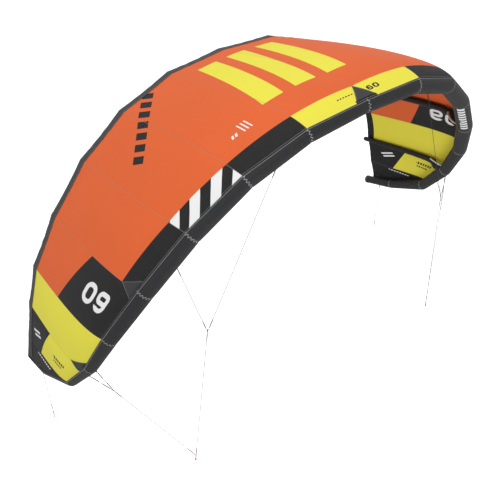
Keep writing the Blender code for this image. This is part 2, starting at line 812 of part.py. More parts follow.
def bridle():
    upper_ends = [under_tube(span, UPPER_KNOT) for span in UPPER_YOKE_ENDS]
    lower_ends = [under_tube(span, LOWER_KNOT) for span in LOWER_YOKE_ENDS]
    upper_start = UPPER_KNOT + (FRONT_POINT - UPPER_KNOT).normalized() * JOIN_CLEARANCE
    lower_start = LOWER_KNOT + (FRONT_POINT - LOWER_KNOT).normalized() * JOIN_CLEARANCE
    lower_end = FRONT_POINT + (LOWER_KNOT - FRONT_POINT).normalized() * OPEN_CLEARANCE
    pigtail_way = (FRONT_POINT - UPPER_KNOT).normalized()
    pigtail_start = FRONT_POINT + pigtail_way * JOIN_CLEARANCE
    pigtail_end = pigtail_start + pigtail_way * PIGTAIL_LENGTH
    back_start = under_tube(BACK_SPAN, BACK_END)
    runs = {
        "upper_bridle_yoke": yoke_points(upper_ends[0], UPPER_KNOT, upper_ends[1]),
        "lower_bridle_yoke": yoke_points(lower_ends[0], LOWER_KNOT, lower_ends[1]),
        "upper_bridle_line": sleeved_run(upper_start, FRONT_POINT, LINE_POINTS),
        "lower_bridle_line": sleeved_run(lower_start, lower_end, LINE_POINTS),
        "front_pigtail": straight(pigtail_start, pigtail_end, 6),
    }
    pivots = {
        "upper_bridle_yoke": upper_ends[0],
        "lower_bridle_yoke": lower_ends[0],
        "upper_bridle_line": UPPER_KNOT,
        "lower_bridle_line": LOWER_KNOT,
        "front_pigtail": FRONT_POINT,
    }
    for label, side in SIDES:
        for part, points in runs.items():
            red = part == "front_pigtail" and side < 0
            radii = line_radii(points, part in ("upper_bridle_line", "lower_bridle_line"))
            mat = red_line() if red else grey_line()
            line_piece(f"{part}_{label}", points, radii, side, mat, pivots[part])
        way = (BACK_END - back_start).normalized()
        back_points = sleeved_run(back_start, BACK_END + way * BACK_PIGTAIL[label], LINE_POINTS // 2)
        radii = line_radii(back_points)
        line_piece(f"back_leader_{label}", back_points, radii, side, grey_line(), back_start)


# ---------------------------------------------------------------- build

clear_scene()
KITE = make_collection("kitesurf_kite")
CUTTERS = make_collection("cutters")

leading_edge()
TUBE_VOLUME = leading_edge_cutter()
PORT = valve_port()
leading_edge_bladder(PORT)
boolean(bpy.data.objects["leading_edge_panel_1_right"], PORT)
tip_caps()
struts(TUBE_VOLUME)
strut_bladders()
canopy()
tail_band()
load_patches()
valve()
hoses()
bridle()
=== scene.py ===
"""Kitesurf kite: the visible pieces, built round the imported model.

Metres, +Z up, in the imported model's frame: the origin is the centre of the leading-edge tube at the kite's
middle, +X runs to the right wing tip and +Y to the trailing edge. A place on the canopy has a span number,
from 0 at the middle to 9 at the end of the tip tube with a seam at each whole number, and a chord fraction,
from 0 at the leading edge to 1 at the trailing edge. Left span numbers are negative in the materials.
"""

import math

import bmesh
import bpy
from mathutils import Matrix, Vector
from mathutils.geometry import interpolate_bezier, intersect_point_line


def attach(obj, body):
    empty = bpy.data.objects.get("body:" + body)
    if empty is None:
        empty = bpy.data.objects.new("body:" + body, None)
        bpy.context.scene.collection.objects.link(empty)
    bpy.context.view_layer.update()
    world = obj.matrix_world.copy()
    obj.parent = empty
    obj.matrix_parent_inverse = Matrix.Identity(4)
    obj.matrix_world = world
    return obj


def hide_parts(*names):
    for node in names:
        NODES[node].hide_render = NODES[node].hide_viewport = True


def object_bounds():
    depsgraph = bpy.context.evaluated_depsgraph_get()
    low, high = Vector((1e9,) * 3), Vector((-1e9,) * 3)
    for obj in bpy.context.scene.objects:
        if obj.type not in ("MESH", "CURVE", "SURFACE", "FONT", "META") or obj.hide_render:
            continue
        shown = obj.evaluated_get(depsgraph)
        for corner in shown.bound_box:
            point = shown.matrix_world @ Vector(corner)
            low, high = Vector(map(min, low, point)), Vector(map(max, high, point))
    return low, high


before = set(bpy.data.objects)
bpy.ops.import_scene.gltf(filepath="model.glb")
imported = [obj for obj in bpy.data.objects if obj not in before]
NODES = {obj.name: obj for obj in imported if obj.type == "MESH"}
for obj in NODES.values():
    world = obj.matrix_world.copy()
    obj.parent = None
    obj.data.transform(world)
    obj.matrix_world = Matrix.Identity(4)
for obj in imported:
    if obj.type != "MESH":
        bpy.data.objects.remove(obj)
CAD_BOX = [list(corner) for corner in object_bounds()]
KITE = "kite"
SIDES = (("left", -1), ("right", 1))

# ---------------------------------------------------------------- the kite's shape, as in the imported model

LE_BAYS = (                      # length, arc angle and sweep angle of each bay of the tube
    (0.500, 3.7, 1.1), (0.480, 20.4, 8.5), (0.483, 39.1, 16.0), (0.515, 50.7, 19.2), (0.493, 59.0, 24.2),
    (0.427, 73.6, 31.8), (0.451, 78.9, 44.0), (0.491, 79.3, 67.6), (0.348, 100.9, 78.7),
)
LE_RADII = (0.062, 0.063, 0.065, 0.067, 0.067, 0.063, 0.056, 0.051, 0.044, 0.0375)
MIDDLE_SEAM_ANGLE = -37.0
SEAM_ANGLE_ENDS = 5
SEAM_ANGLE_POWER = 1.4
CHORDS = (1.585, 1.565, 1.515, 1.450, 1.340, 1.187, 1.022, 0.737, 0.290, -0.050)
TAIL_HEIGHTS = (0.0, 0.0, 0.0, 0.0, 0.0, 0.0, 0.0, 0.015, 0.030, 0.040)
CAMBER_FRONT = (0.15, 0.115)
CAMBER_REAR = (0.55, 0.055)
BAY_BULGE = 0.018
TAIL_SCALLOP = 0.012
CANOPY_END = 8.8
SEWN_CLEARANCE = 0.0026
SLOPE_STEP = 0.02
HEM_WIDTH = 0.058
HEM_SHORTEST_CHORD = 0.20
HEM_END = 8.0
HEM_LIFT = 0.0030
PATCH_HALF_WIDTH = 0.085
PATCH_FRONT = 0.015
PATCH_POINTS = {0: 0.149, 4: 0.175, 6: 0.230}
PATCH_LIFT = 0.0026
CLOTH = 0.0006

STRUTS = (("centre", 0, 1), ("inner_left", 4, -1), ("inner_right", 4, 1),
          ("outer_left", 6, -1), ("outer_right", 6, 1))
STRUT_RADIUS = (0.031, 0.022)
KNEE_RUN = 0.06
STRUT_ROOT = 0.018
STRUT_DROP = 0.0032
STRUT_OVERHANG = 0.030
STRUT_RISE = 0.24
STRUT_NOSE = 0.025               # length of a strut's rounded end
STRUT_STATIONS = 7
CORNER_SAG = 0.0012              # how far a strut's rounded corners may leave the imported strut's line
RING_STEP = 0.035                # distance between a strut's rings

BACK = Vector((0.0, 1.0, 0.0))
LAST = len(LE_BAYS)


def joint_points():
    """Centres of the tube at its seams, from the middle to the right tip."""
    points = [Vector((0.0, 0.0, 0.0))]
    for length, arc, sweep in LE_BAYS:
        arc = math.radians(arc)
        sweep = math.radians(sweep)
        along = math.cos(sweep)
        step = Vector((math.cos(arc) * along, math.sin(sweep), -math.sin(arc) * along))
        points.append(points[-1] + length * step)
    return points


def joint_axes(points):
    steps = [(b - a).normalized() for a, b in zip(points, points[1:])]
    axes = [Vector((1.0, 0.0, 0.0))]
    axes += [(a + b).normalized() for a, b in zip(steps, steps[1:])]
    axes.append(steps[-1])
    return axes


def rib_normals():
    arcs = [arc for _, arc, _ in LE_BAYS]
    joint_arcs = [0.0] + [(a + b) / 2 for a, b in zip(arcs, arcs[1:])] + [arcs[-1]]
    return [Vector((math.sin(math.radians(a)), 0.0, math.cos(math.radians(a)))) for a in joint_arcs]


JOINTS = joint_points()
AXES = joint_axes(JOINTS)
NORMALS = rib_normals()


def mirrored(point, side):
    return Vector((point.x * side, point.y, point.z))


def tube_frame(i):
    """Outward and backward directions across the tube at seam i."""
    back = (BACK - BACK.dot(AXES[i]) * AXES[i]).normalized()
    out = AXES[i].cross(back)
    if out.dot(NORMALS[i]) < 0:
        out = -out
    return out, back


TUBE_FRAMES = [tube_frame(i) for i in range(LAST + 1)]


def around_tube(i, degrees, radius):
    """A point on the tube's seam i, degrees behind its top."""
    out, back = TUBE_FRAMES[i]
    angle = math.radians(degrees)
    return JOINTS[i] + radius * (math.cos(angle) * out + math.sin(angle) * back)


def seam_angle(span):
    return MIDDLE_SEAM_ANGLE * max(0.0, 1 - span / SEAM_ANGLE_ENDS) ** SEAM_ANGLE_POWER


def rib_handles(i):
    chord = CHORDS[i]
    start = around_tube(i, seam_angle(i), LE_RADII[i] + SEWN_CLEARANCE)
    front = JOINTS[i] + CAMBER_FRONT[0] * chord * BACK + CAMBER_FRONT[1] * chord * NORMALS[i]
    rear = JOINTS[i] + CAMBER_REAR[0] * chord * BACK + CAMBER_REAR[1] * chord * NORMALS[i]
    tail = JOINTS[i] + chord * BACK + TAIL_HEIGHTS[i] * NORMALS[i]
    return start, front, rear, tail


HANDLES = [rib_handles(i) for i in range(LAST + 1)]


def bay_of(span):
    bay = min(int(span), LAST - 1)
    return bay, span - bay


def at_span(values, span):
    bay, share = bay_of(span)
    return values[bay] * (1 - share) + values[bay + 1] * share


def clear_of_tube(point, span):
    """Push a point of the cloth out to the surface of the tube that it would cut."""
    first = max(0, int(span) - 1)
    for bay in range(first, min(LAST, int(span) + 2)):
        _, share = intersect_point_line(point, JOINTS[bay], JOINTS[bay + 1])
        share = min(max(share, 0.0), 1.0)
        foot = JOINTS[bay].lerp(JOINTS[bay + 1], share)
        radius = LE_RADII[bay] * (1 - share) + LE_RADII[bay + 1] * share + SEWN_CLEARANCE
        away = point - foot
        if away.length < radius:
            point = foot + away.normalized() * radius
    return point


def canopy_point(span, chord, lift=0.0):
    """The canopy at a span number and chord fraction, on the right half."""
    start, front, rear, tail = (at_span([handle[k] for handle in HANDLES], span) for k in range(4))
    rest = 1 - chord
    point = rest ** 3 * start + 3 * rest ** 2 * chord * front
    point = point + 3 * rest * chord ** 2 * rear + chord ** 3 * tail
    normal = at_span(NORMALS, span).normalized()
    _, share = bay_of(span)
    middle = 4 * share * (1 - share)
    tip_fade = min(1.0, max(0.0, LAST - 1 - span) / 2)
    fill = (1 - rest ** 8) * (1 - chord ** 6)
    point = point + normal * (BAY_BULGE * middle * fill * tip_fade)
    point = point - BACK * (TAIL_SCALLOP * middle * chord ** 4 * tip_fade)
    point = clear_of_tube(point, span)
    if lift:
        point = point + canopy_normal(span, chord) * lift
    return point


def canopy_normal(span, chord):
    low_span, high_span = max(0.0, span - SLOPE_STEP), min(LAST, span + SLOPE_STEP)
    low_chord, high_chord = max(0.0, chord - SLOPE_STEP), min(1.0, chord + SLOPE_STEP)
    across = canopy_point(high_span, chord) - canopy_point(low_span, chord)
    along = canopy_point(span, high_chord) - canopy_point(span, low_chord)
    if span == 0.0:
        across = Vector((1.0, 0.0, 0.0))
    return across.cross(along).normalized()


# ---------------------------------------------------------------- materials

def rgb(red, green, blue):
    """Linear colour from 8-bit screen values."""
    def linear(value):
        value /= 255
        return value / 12.92 if value < 0.04045 else ((value + 0.055) / 1.055) ** 2.4
    return (linear(red), linear(green), linear(blue), 1.0)


ORANGE = rgb(208, 90, 38)
YELLOW = rgb(217, 209, 62)
CANOPY_BLACK = rgb(21, 21, 22)
WHITE = rgb(220, 220, 220)
DACRON_BLACK = rgb(25, 25, 27)
STRUT_BLACK = rgb(17, 17, 18)
THREAD = rgb(168, 169, 171)
SEAM_GREY = rgb(150, 120, 105)


class Look:
    """One node material. Values are sockets or plain numbers."""

    def __init__(self, name, roughness, sheen=0.0, specular=0.5):
        self.material = bpy.data.materials.new(name)
        self.material.use_nodes = True
        self.tree = self.material.node_tree
        self.shader = self.tree.nodes["Principled BSDF"]
        self.set(self.shader.inputs["Roughness"], roughness)
        self.shader.inputs["Specular IOR Level"].default_value = specular
        self.shader.inputs["Sheen Weight"].default_value = sheen
        self.shader.inputs["Sheen Roughness"].default_value = 0.5

    def set(self, socket, value):
        if isinstance(value, bpy.types.NodeSocket):
            self.tree.links.new(value, socket)
        else:
            socket.default_value = value

    def math(self, operation, *values):
        node = self.tree.nodes.new("ShaderNodeMath")
        node.operation = operation
        for socket, value in zip(node.inputs, values):
            self.set(socket, value)
        return node.outputs[0]

    def product(self, *values):
        result = values[0]
        for value in values[1:]:
            result = self.math("MULTIPLY", result, value)
        return result

    def between(self, value, low, high):
        return self.product(self.math("GREATER_THAN", value, low), self.math("LESS_THAN", value, high))

    def either(self, *values):
        result = values[0]
        for value in values[1:]:
            result = self.math("MAXIMUM", result, value)
        return result

    def blend(self, factor, first, second):
        node = self.tree.nodes.new("ShaderNodeMix")
        node.data_type = "RGBA"
        self.set(node.inputs["Factor"], factor)
        self.set(node.inputs["A"], first)
        self.set(node.inputs["B"], second)
        return node.outputs["Result"]

    def uv(self, name):
        node = self.tree.nodes.new("ShaderNodeUVMap")
        node.uv_map = name
        parts = self.tree.nodes.new("ShaderNodeSeparateXYZ")
        self.tree.links.new(node.outputs["UV"], parts.inputs[0])
        return parts.outputs["X"], parts.outputs["Y"]

    def noise(self, scale, detail=3.0, stretch=(1.0, 1.0, 1.0)):
        place = self.tree.nodes.new("ShaderNodeTexCoord")
        mapping = self.tree.nodes.new("ShaderNodeMapping")
        mapping.inputs["Scale"].default_value = stretch
        node = self.tree.nodes.new("ShaderNodeTexNoise")
        node.inputs["Scale"].default_value = scale
        node.inputs["Detail"].default_value = detail
        self.tree.links.new(place.outputs["Object"], mapping.inputs["Vector"])
        self.tree.links.new(mapping.outputs["Vector"], node.inputs["Vector"])
        return node.outputs[0]

    def bump(self, height, distance, strength=1.0, after=None):
        node = self.tree.nodes.new("ShaderNodeBump")
        node.inputs["Distance"].default_value = distance
        node.inputs["Strength"].default_value = strength
        self.set(node.inputs["Height"], height)
        if after is not None:
            self.tree.links.new(after, node.inputs["Normal"])
        self.tree.links.new(node.outputs[0], self.shader.inputs["Normal"])
        return node.outputs[0]

    def varied(self, colour, amount, scale):
        """The colour with soft darker and lighter clouds."""
        clouds = self.noise(scale)
        shade = self.math("MULTIPLY_ADD", self.math("SUBTRACT", clouds, 0.5), amount, 1.0)
        node = self.tree.nodes.new("ShaderNodeHueSaturation")
        self.set(node.inputs["Color"], colour)
        self.set(node.inputs["Value"], shade)
        return node.outputs[0]

    def colour(self, value):
        self.set(self.shader.inputs["Base Color"], value)


def thread_grid(look, x, y, pitch, width):
    """Thin lines each pitch both ways: 1 on a thread, 0 between."""
    across = look.math("LESS_THAN", look.math("PINGPONG", x, pitch / 2), width)
    along = look.math("LESS_THAN", look.math("PINGPONG", y, pitch / 2), width)
    return look.either(across, along)


def zigzag(look, across, along, reach, pitch, width):
    """A zigzag of thread along a seam, from the distances across and along it."""
    swing = look.math("PINGPONG", along, pitch / 2)
    line = look.math("MULTIPLY_ADD", swing, 4 * reach / pitch, -reach)
    return look.math("LESS_THAN", look.math("ABSOLUTE", look.math("SUBTRACT", across, line)), width)


def polygon(look, x, y, corners):
    """1 inside a convex polygon, from its corners in either order."""
    area = sum(a[0] * b[1] - b[0] * a[1] for a, b in zip(corners, corners[1:] + corners[:1]))
    turn = 1 if area > 0 else -1
    sides = []
    for (ax, ay), (bx, by) in zip(corners, corners[1:] + corners[:1]):
        slope_x, slope_y = -(by - ay) * turn, (bx - ax) * turn
        edge = ax * slope_x + ay * slope_y
        line = look.math("MULTIPLY_ADD", x, slope_x, look.math("MULTIPLY", y, slope_y))
        sides.append(look.math("GREATER_THAN", line, edge))
    return look.product(*sides)


def rounded_ring(look, x, y, half, corner, stroke):
    """The outline of a rounded rectangle, stroke wide."""
    past = []
    for value, size in ((x, half[0]), (y, half[1])):
        past.append(look.math("MAXIMUM", look.math("SUBTRACT", look.math("ABSOLUTE", value), size - corner), 0.0))
    squared = look.math("MULTIPLY_ADD", past[0], past[0], look.math("MULTIPLY", past[1], past[1]))
    distance = look.math("SUBTRACT", look.math("SQRT", squared), corner)
    inner = look.either(look.math("SUBTRACT", look.math("ABSOLUTE", x), half[0]),
                        look.math("SUBTRACT", look.math("ABSOLUTE", y), half[1]))
    depth = look.math("MINIMUM", distance, 0.0)
    depth = look.math("ADD", look.either(distance, 0.0), look.math("MINIMUM", look.either(inner, depth), 0.0))
    return look.between(depth, -stroke, 0.0)


def figure_nought(look, x, y, width, height, stroke):
    return rounded_ring(look, x, y, (width / 2, height / 2), width * 0.46, stroke)


def figure_nine(look, x, y, width, height, stroke):
    """A nine: a ring for its head, and an outline below it that is open on the left."""
    head_height = height * 0.64
    head_y = look.math("SUBTRACT", y, (height - head_height) / 2)
    head = rounded_ring(look, x, head_y, (width / 2, head_height / 2), head_height * 0.44, stroke)
    outline = rounded_ring(look, x, y, (width / 2, height / 2), width * 0.46, stroke)
    low = look.math("LESS_THAN", y, height * 0.1)
    right = look.math("GREATER_THAN", x, 0.0)
    foot = look.math("LESS_THAN", y, -height * 0.26)
    return look.either(head, look.product(outline, low, look.either(right, foot)))


def numerals(look, x, y, width, height, gap, stroke):
    """The size numerals, centred on x = 0 and y = 0, reading along +x with their tops to +y."""
    step = (width + gap) / 2
    nought = figure_nought(look, look.math("ADD", x, step), y, width, height, stroke)
    nine = figure_nine(look, look.math("SUBTRACT", x, step), y, width, height, stroke)
    return look.either(nought, nine)


def turned(look, x, y, centre, degrees, scale=(1.0, 1.0)):
    """Coordinates in metres about a centre, turned by degrees. scale is metres for each unit of x and y."""
    x = look.math("MULTIPLY", look.math("SUBTRACT", x, centre[0]), scale[0])
    y = look.math("MULTIPLY", look.math("SUBTRACT", y, centre[1]), scale[1])
    cosine, sine = math.cos(math.radians(degrees)), math.sin(math.radians(degrees))
    along = look.math("MULTIPLY_ADD", x, cosine, look.math("MULTIPLY", y, sine))
    up = look.math("MULTIPLY_ADD", y, cosine, look.math("MULTIPLY", x, -sine))
    return along, up


def bars(look, along, up, length, height, pitch, share, slant):
    """A row of plain slanted bars, centred on 0."""
    leaning = look.math("MULTIPLY_ADD", up, -slant, along)
    repeat = look.math("FRACT", look.math("DIVIDE", look.math("ADD", leaning, length / 2), pitch))
    row = look.math("LESS_THAN", look.math("ABSOLUTE", leaning), length / 2)
    tall = look.math("LESS_THAN", look.math("ABSOLUTE", up), height / 2)
    return look.product(look.math("LESS_THAN", repeat, share), row, tall)


# ---------------------------------------------------------------- the canopy's cloth

BAY = 0.48                       # metres for each unit of span, for the small graphics
CHORD = 1.45                     # metres for each unit of chord, for the small graphics
STRIP_CHORD = 0.149              # rear edge of the front strip at the middle
STRIP_GROWTH = 0.0135            # its growth for each bay beyond STRIP_GROWS
STRIP_GROWS = 2.1
STRIPE_START = 2.06
STRIPE_PITCH = 0.375
STRIPE_SLOPE = 2.0               # how many bays a stripe leans for each unit of chord


def panel_colours(look, u, v, tail):
    """The colour of each panel of the canopy at span u and chord v. tail is metres from its rear edge."""
    span = look.math("ABSOLUTE", u)
    colour = look.blend(look.between(span, 5.0, 6.0), ORANGE, YELLOW)
    slant = look.math("MULTIPLY_ADD", look.math("SUBTRACT", span, 4.0), 0.124, 0.515)
    panel = look.product(look.between(span, 4.0, 5.0), look.math("LESS_THAN", v, slant))
    colour = look.blend(look.either(panel, look.math("GREATER_THAN", span, 6.0)), colour, CANOPY_BLACK)
    tip = polygon(look, span, v, [(6.0, 0.613), (6.99, 0.689), (6.93, 0.0), (6.0, 0.0)])
    colour = look.blend(tip, colour, YELLOW)
    growth = look.math("MAXIMUM", look.math("SUBTRACT", span, STRIP_GROWS), 0.0)
    edge = look.math("MULTIPLY_ADD", growth, STRIP_GROWTH, STRIP_CHORD)
    strip = look.math("LESS_THAN", v, edge)
    colour = look.blend(look.product(strip, look.math("LESS_THAN", span, 4.0)), colour, CANOPY_BLACK)
    colour = look.blend(look.product(strip, look.math("LESS_THAN", span, 1.0)), colour, YELLOW)
    lean = look.math("MULTIPLY_ADD", look.math("SUBTRACT", v, 0.15), STRIPE_SLOPE, span)
    phase = look.math("FRACT", look.math("DIVIDE", look.math("ADD", lean, STRIPE_PITCH * 6 - STRIPE_START),
                                         STRIPE_PITCH))
    striped = look.product(strip, look.between(span, 2.0, 3.0), look.math("LESS_THAN", phase, 0.5))
    colour = look.blend(striped, colour, WHITE)
    for seam in (0, 6):
        near = look.math("LESS_THAN", look.math("ABSOLUTE", look.math("SUBTRACT", span, seam)), 0.185)
        colour = look.blend(look.product(near, look.math("LESS_THAN", v, 0.02)), colour, CANOPY_BLACK)
    return look.blend(look.math("LESS_THAN", tail, HEM_WIDTH), colour, CANOPY_BLACK)


def panel_graphics(look, u, v, colour):
    """The numerals and the plain shapes printed on the panels."""
    span = look.math("ABSOLUTE", u)
    side = look.math("SIGN", u)
    centre = look.math("MULTIPLY_ADD", side, 0.024, 0.314)
    reading = look.math("MULTIPLY", look.math("SUBTRACT", v, centre), look.math("MULTIPLY", side, 1.25))
    rise = look.math("MULTIPLY", look.math("SUBTRACT", span, 4.475), -0.493)
    figures = numerals(look, reading, rise, 0.150, 0.180, 0.030, 0.040)
    colour = look.blend(figures, colour, WHITE)
    slabs = [polygon(look, u, v, [(k, 0.34), (k + 0.34, 0.34), (k + 0.62, 0.88), (k + 0.28, 0.88)])
             for k in (-1.04, -0.50, 0.04)]
    colour = look.blend(look.either(*slabs), colour, YELLOW)
    along, up = turned(look, u, v, (-2.02, 0.80), 0.0, (BAY, CHORD))
    along, up = turned(look, along, up, (0.0, 0.0), 44.0)
    colour = look.blend(bars(look, along, up, 0.76, 0.085, 0.108, 0.62, 0.25), colour, CANOPY_BLACK)
    along, up = turned(look, u, v, (-1.45, 0.285), 0.0, (BAY, CHORD))
    lines = look.math("LESS_THAN", look.math("FRACT", look.math("DIVIDE", along, 0.026)), 0.35)
    small = look.product(look.math("LESS_THAN", look.math("ABSOLUTE", along), 0.039),
                         look.math("LESS_THAN", look.math("ABSOLUTE", up), 0.050))
    colour = look.blend(look.product(lines, small), colour, WHITE)
    along, up = turned(look, u, v, (-1.62, 0.268), 0.0, (BAY, CHORD))
    colour = look.blend(bars(look, along, up, 0.052, 0.034, 0.026, 0.6, 0.4), colour, WHITE)
    along, up = turned(look, span, v, (8.0, 0.62), 0.0, (0.42, 0.29))
    waves = zigzag(look, along, up, 0.024, 0.056, 0.003)
    reach = look.product(look.math("LESS_THAN", look.math("ABSOLUTE", along), 0.030),
                         look.math("LESS_THAN", look.math("ABSOLUTE", up), 0.084))
    colour = look.blend(look.product(waves, reach, 0.40), colour, THREAD)
    along, up = turned(look, u, v, (-0.235, 0.085), 0.0, (BAY, CHORD))
    colour = look.blend(bars(look, along, up, 0.13, 0.014, 0.022, 0.6, 0.3), colour, CANOPY_BLACK)
    along, up = turned(look, u, v, (0.235, 0.078), 180.0, (BAY, CHORD))
    colour = look.blend(numerals(look, along, up, 0.046, 0.060, 0.008, 0.014), colour, CANOPY_BLACK)
    along, up = turned(look, span, v, (6.45, 0.34), 90.0, (0.45, 0.95))
    colour = look.blend(bars(look, along, up, 0.22, 0.040, 0.036, 0.66, 0.3), colour, CANOPY_BLACK)
    along, up = turned(look, span, v, (6.58, 0.34), 90.0, (0.45, 0.95))
    colour = look.blend(bars(look, along, up, 0.16, 0.026, 0.036, 0.66, 0.3), colour, CANOPY_BLACK)
    along, up = turned(look, span, v, (6.50, 0.80), 60.0, (0.45, 0.9))
    pair = look.between(look.math("ABSOLUTE", up), 0.012, 0.038)
    colour = look.blend(look.product(pair, look.math("LESS_THAN", look.math("ABSOLUTE", along), 0.062)),
                        colour, WHITE)
    along, up = turned(look, span, v, (7.16, 0.55), 90.0, (0.45, 0.62))
    return look.blend(bars(look, along, up, 0.22, 0.032, 0.030, 0.68, 0.3), colour, WHITE)


def canopy_look():
    look = Look("canopy_ripstop", 0.55, sheen=0.0, specular=0.07)
    u, v = look.uv("place")
    x, tail = look.uv("metres")
    colour = panel_graphics(look, u, v, panel_colours(look, u, v, tail))
    seam = look.math("ABSOLUTE", look.math("SUBTRACT", look.math("FRACT", look.math("ADD", u, 0.5 + 20)), 0.5))
    seam = look.math("MULTIPLY", seam, BAY)
    stitched = look.math("LESS_THAN", seam, 0.0022)
    colour = look.blend(look.product(stitched, 0.45), colour, SEAM_GREY)
    colour = look.blend(look.product(look.between(v, 0.0042, 0.0058), 0.7), colour, THREAD)
    grid = thread_grid(look, x, tail, 0.006, 0.0005)
    colour = look.blend(look.product(grid, 0.06), colour, WHITE)
    look.colour(look.varied(colour, 0.10, 1.6))
    fold = look.math("LESS_THAN", seam, 0.006)
    ripple = look.noise(5.0, 2.0)
    first = look.bump(ripple, 0.012, 0.35)
    second = look.bump(grid, 0.0004, 0.5, first)
    look.bump(fold, 0.0010, 0.8, second)
    return look.material


def reinforcement_look(name, shade):
    """Coated black cloth with a line of stitches along both of its edges."""
    look = Look(name, 0.58, sheen=0.0, specular=0.16)
    x, y = look.uv("metres")
    from_edge = look.math("ABSOLUTE", y)
    stitches = look.product(look.between(from_edge, 0.004, 0.0058),
                            look.math("LESS_THAN", look.math("FRACT", look.math("DIVIDE", x, 0.006)), 0.7))
    grid = thread_grid(look, x, y, 0.0016, 0.0002)
    colour = look.blend(look.product(grid, 0.10), shade, THREAD)
    look.colour(look.varied(look.blend(look.product(stitches, 0.8), colour, THREAD), 0.18, 9.0))
    look.bump(stitches, 0.0006, 0.6, look.bump(grid, 0.0002, 0.5, look.bump(look.noise(30.0), 0.002, 0.3)))
    return look.material


# ---------------------------------------------------------------- mesh helpers

def new_object(name, mesh, materials=()):
    obj = bpy.data.objects.new(name, mesh)
    bpy.context.scene.collection.objects.link(obj)
    for material in materials:
        mesh.materials.append(material)
    return obj


def finish_mesh(name, bm, material, smooth=True, sharp=40):
    mesh = bpy.data.meshes.new(name)
    bm.to_mesh(mesh)
    bm.free()
    if smooth:
        mesh.shade_smooth()
        mesh.set_sharp_from_angle(angle=math.radians(sharp))
    return new_object(name, mesh, [material])


def grid_mesh(name, rows, uvs, material, close=False, thickness=0.0):
    """A skin over rows of points. uvs gives, for each map's name, rows of pairs like those of the points."""
    bm = bmesh.new()
    layers = {key: bm.loops.layers.uv.new(key) for key in uvs}
    verts = [[bm.verts.new(p) for p in row] for row in rows]
    columns = len(rows[0])
    for i in range(len(rows) - 1):
        for j in range(columns if close else columns - 1):
            k = (j + 1) % columns
            face = bm.faces.new((verts[i][j], verts[i + 1][j], verts[i + 1][k], verts[i][k]))
            spots = ((i, j), (i + 1, j), (i + 1, j + 1), (i, j + 1))
            for loop, (a, b) in zip(face.loops, spots):
                for key, layer in layers.items():
                    loop[layer].uv = uvs[key][a][b]
    obj = finish_mesh(name, bm, material)
    if thickness:
        shell = obj.modifiers.new("cloth", "SOLIDIFY")
        shell.thickness = thickness
        shell.offset = 0.0
        shell.use_even_offset = True
    return obj


# ---------------------------------------------------------------- canopy, hem and load patches

CANOPY_COLUMNS = 12              # columns in each bay
CANOPY_ROWS = 44
RIPPLE = 0.0022                  # height of the small folds that run in from the sewn edges


def arc_length(span):
    bay, share = bay_of(span)
    return sum(length for length, _, _ in LE_BAYS[:bay]) + LE_BAYS[bay][0] * share


def ripple(span, chord):
    """Small folds across each bay near the leading and trailing edges, none over a seam."""
    _, share = bay_of(span)
    middle = 4 * share * (1 - share)
    edge = math.exp(-((1 - chord) / 0.10)) + 0.5 * math.exp(-abs(chord - 0.10) / 0.06)
    folds = math.sin(share * math.tau * 4 + span * 1.7) * 0.6 + math.sin(share * math.tau * 7 + span) * 0.4
    return RIPPLE * middle * edge * folds if span < 7.5 and 0.03 < chord else 0.0


def canopy_rows(count):
    """Chord fractions, closer together at both edges."""
    return [0.5 - 0.5 * math.cos(math.pi * (k / count) ** 0.92) for k in range(count + 1)]


def signed_spans(end, columns):
    steps = [bay + k / columns for bay in range(int(end)) for k in range(columns)]
    rest = end - int(end)
    last = max(2, round(rest * columns))
    steps += [int(end) + rest * k / last for k in range(last + 1)] if rest else [float(end)]
    return [-s for s in reversed(steps[1:])] + steps


def local_chord(span):
    return max(0.12, (canopy_point(span, 1.0) - canopy_point(span, 0.0)).length * 1.02)


def canopy():
    spans = signed_spans(CANOPY_END, CANOPY_COLUMNS)
    chords = canopy_rows(CANOPY_ROWS)
    rows, places, metres = [], [], []
    for signed in spans:
        span, side = abs(signed), (-1 if signed < 0 else 1)
        width = local_chord(span)
        rows.append([mirrored(canopy_point(span, c) + at_span(NORMALS, span) * ripple(span, c), side)
                     for c in chords])
        places.append([(signed, c) for c in chords])
        metres.append([(arc_length(span) * side, (1 - c) * width) for c in chords])
    obj = grid_mesh("canopy", rows, {"place": places, "metres": metres}, canopy_look(), thickness=CLOTH)
    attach(obj, KITE)
    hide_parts(*[f"canopy_{part}_{label}" for part in ("inner", "middle", "tip") for label, _ in SIDES])
    return obj


def hem():
    """The doubled cloth along the trailing edge."""
    spans = signed_spans(HEM_END, CANOPY_COLUMNS)
    shares = [k / 6 for k in range(7)]
    rows, metres = [], []
    for signed in spans:
        span, side = abs(signed), (-1 if signed < 0 else 1)
        chord = max(abs(at_span(CHORDS, span)), HEM_SHORTEST_CHORD)
        front = 1 - HEM_WIDTH / chord
        line = [front + (1 - front) * share for share in shares]
        rows.append([mirrored(canopy_point(span, c, HEM_LIFT) + at_span(NORMALS, span) * ripple(span, c), side)
                     for c in line])
        metres.append([(arc_length(span) * side, HEM_WIDTH / 2 - abs(share - 0.5) * HEM_WIDTH)
                       for share in shares])
    look = reinforcement_look("hem_cloth", rgb(44, 45, 47))
    obj = grid_mesh("trailing_edge_hem", rows, {"metres": metres}, look, thickness=CLOTH)
    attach(obj, KITE)
    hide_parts("trailing_edge_band")
    return obj


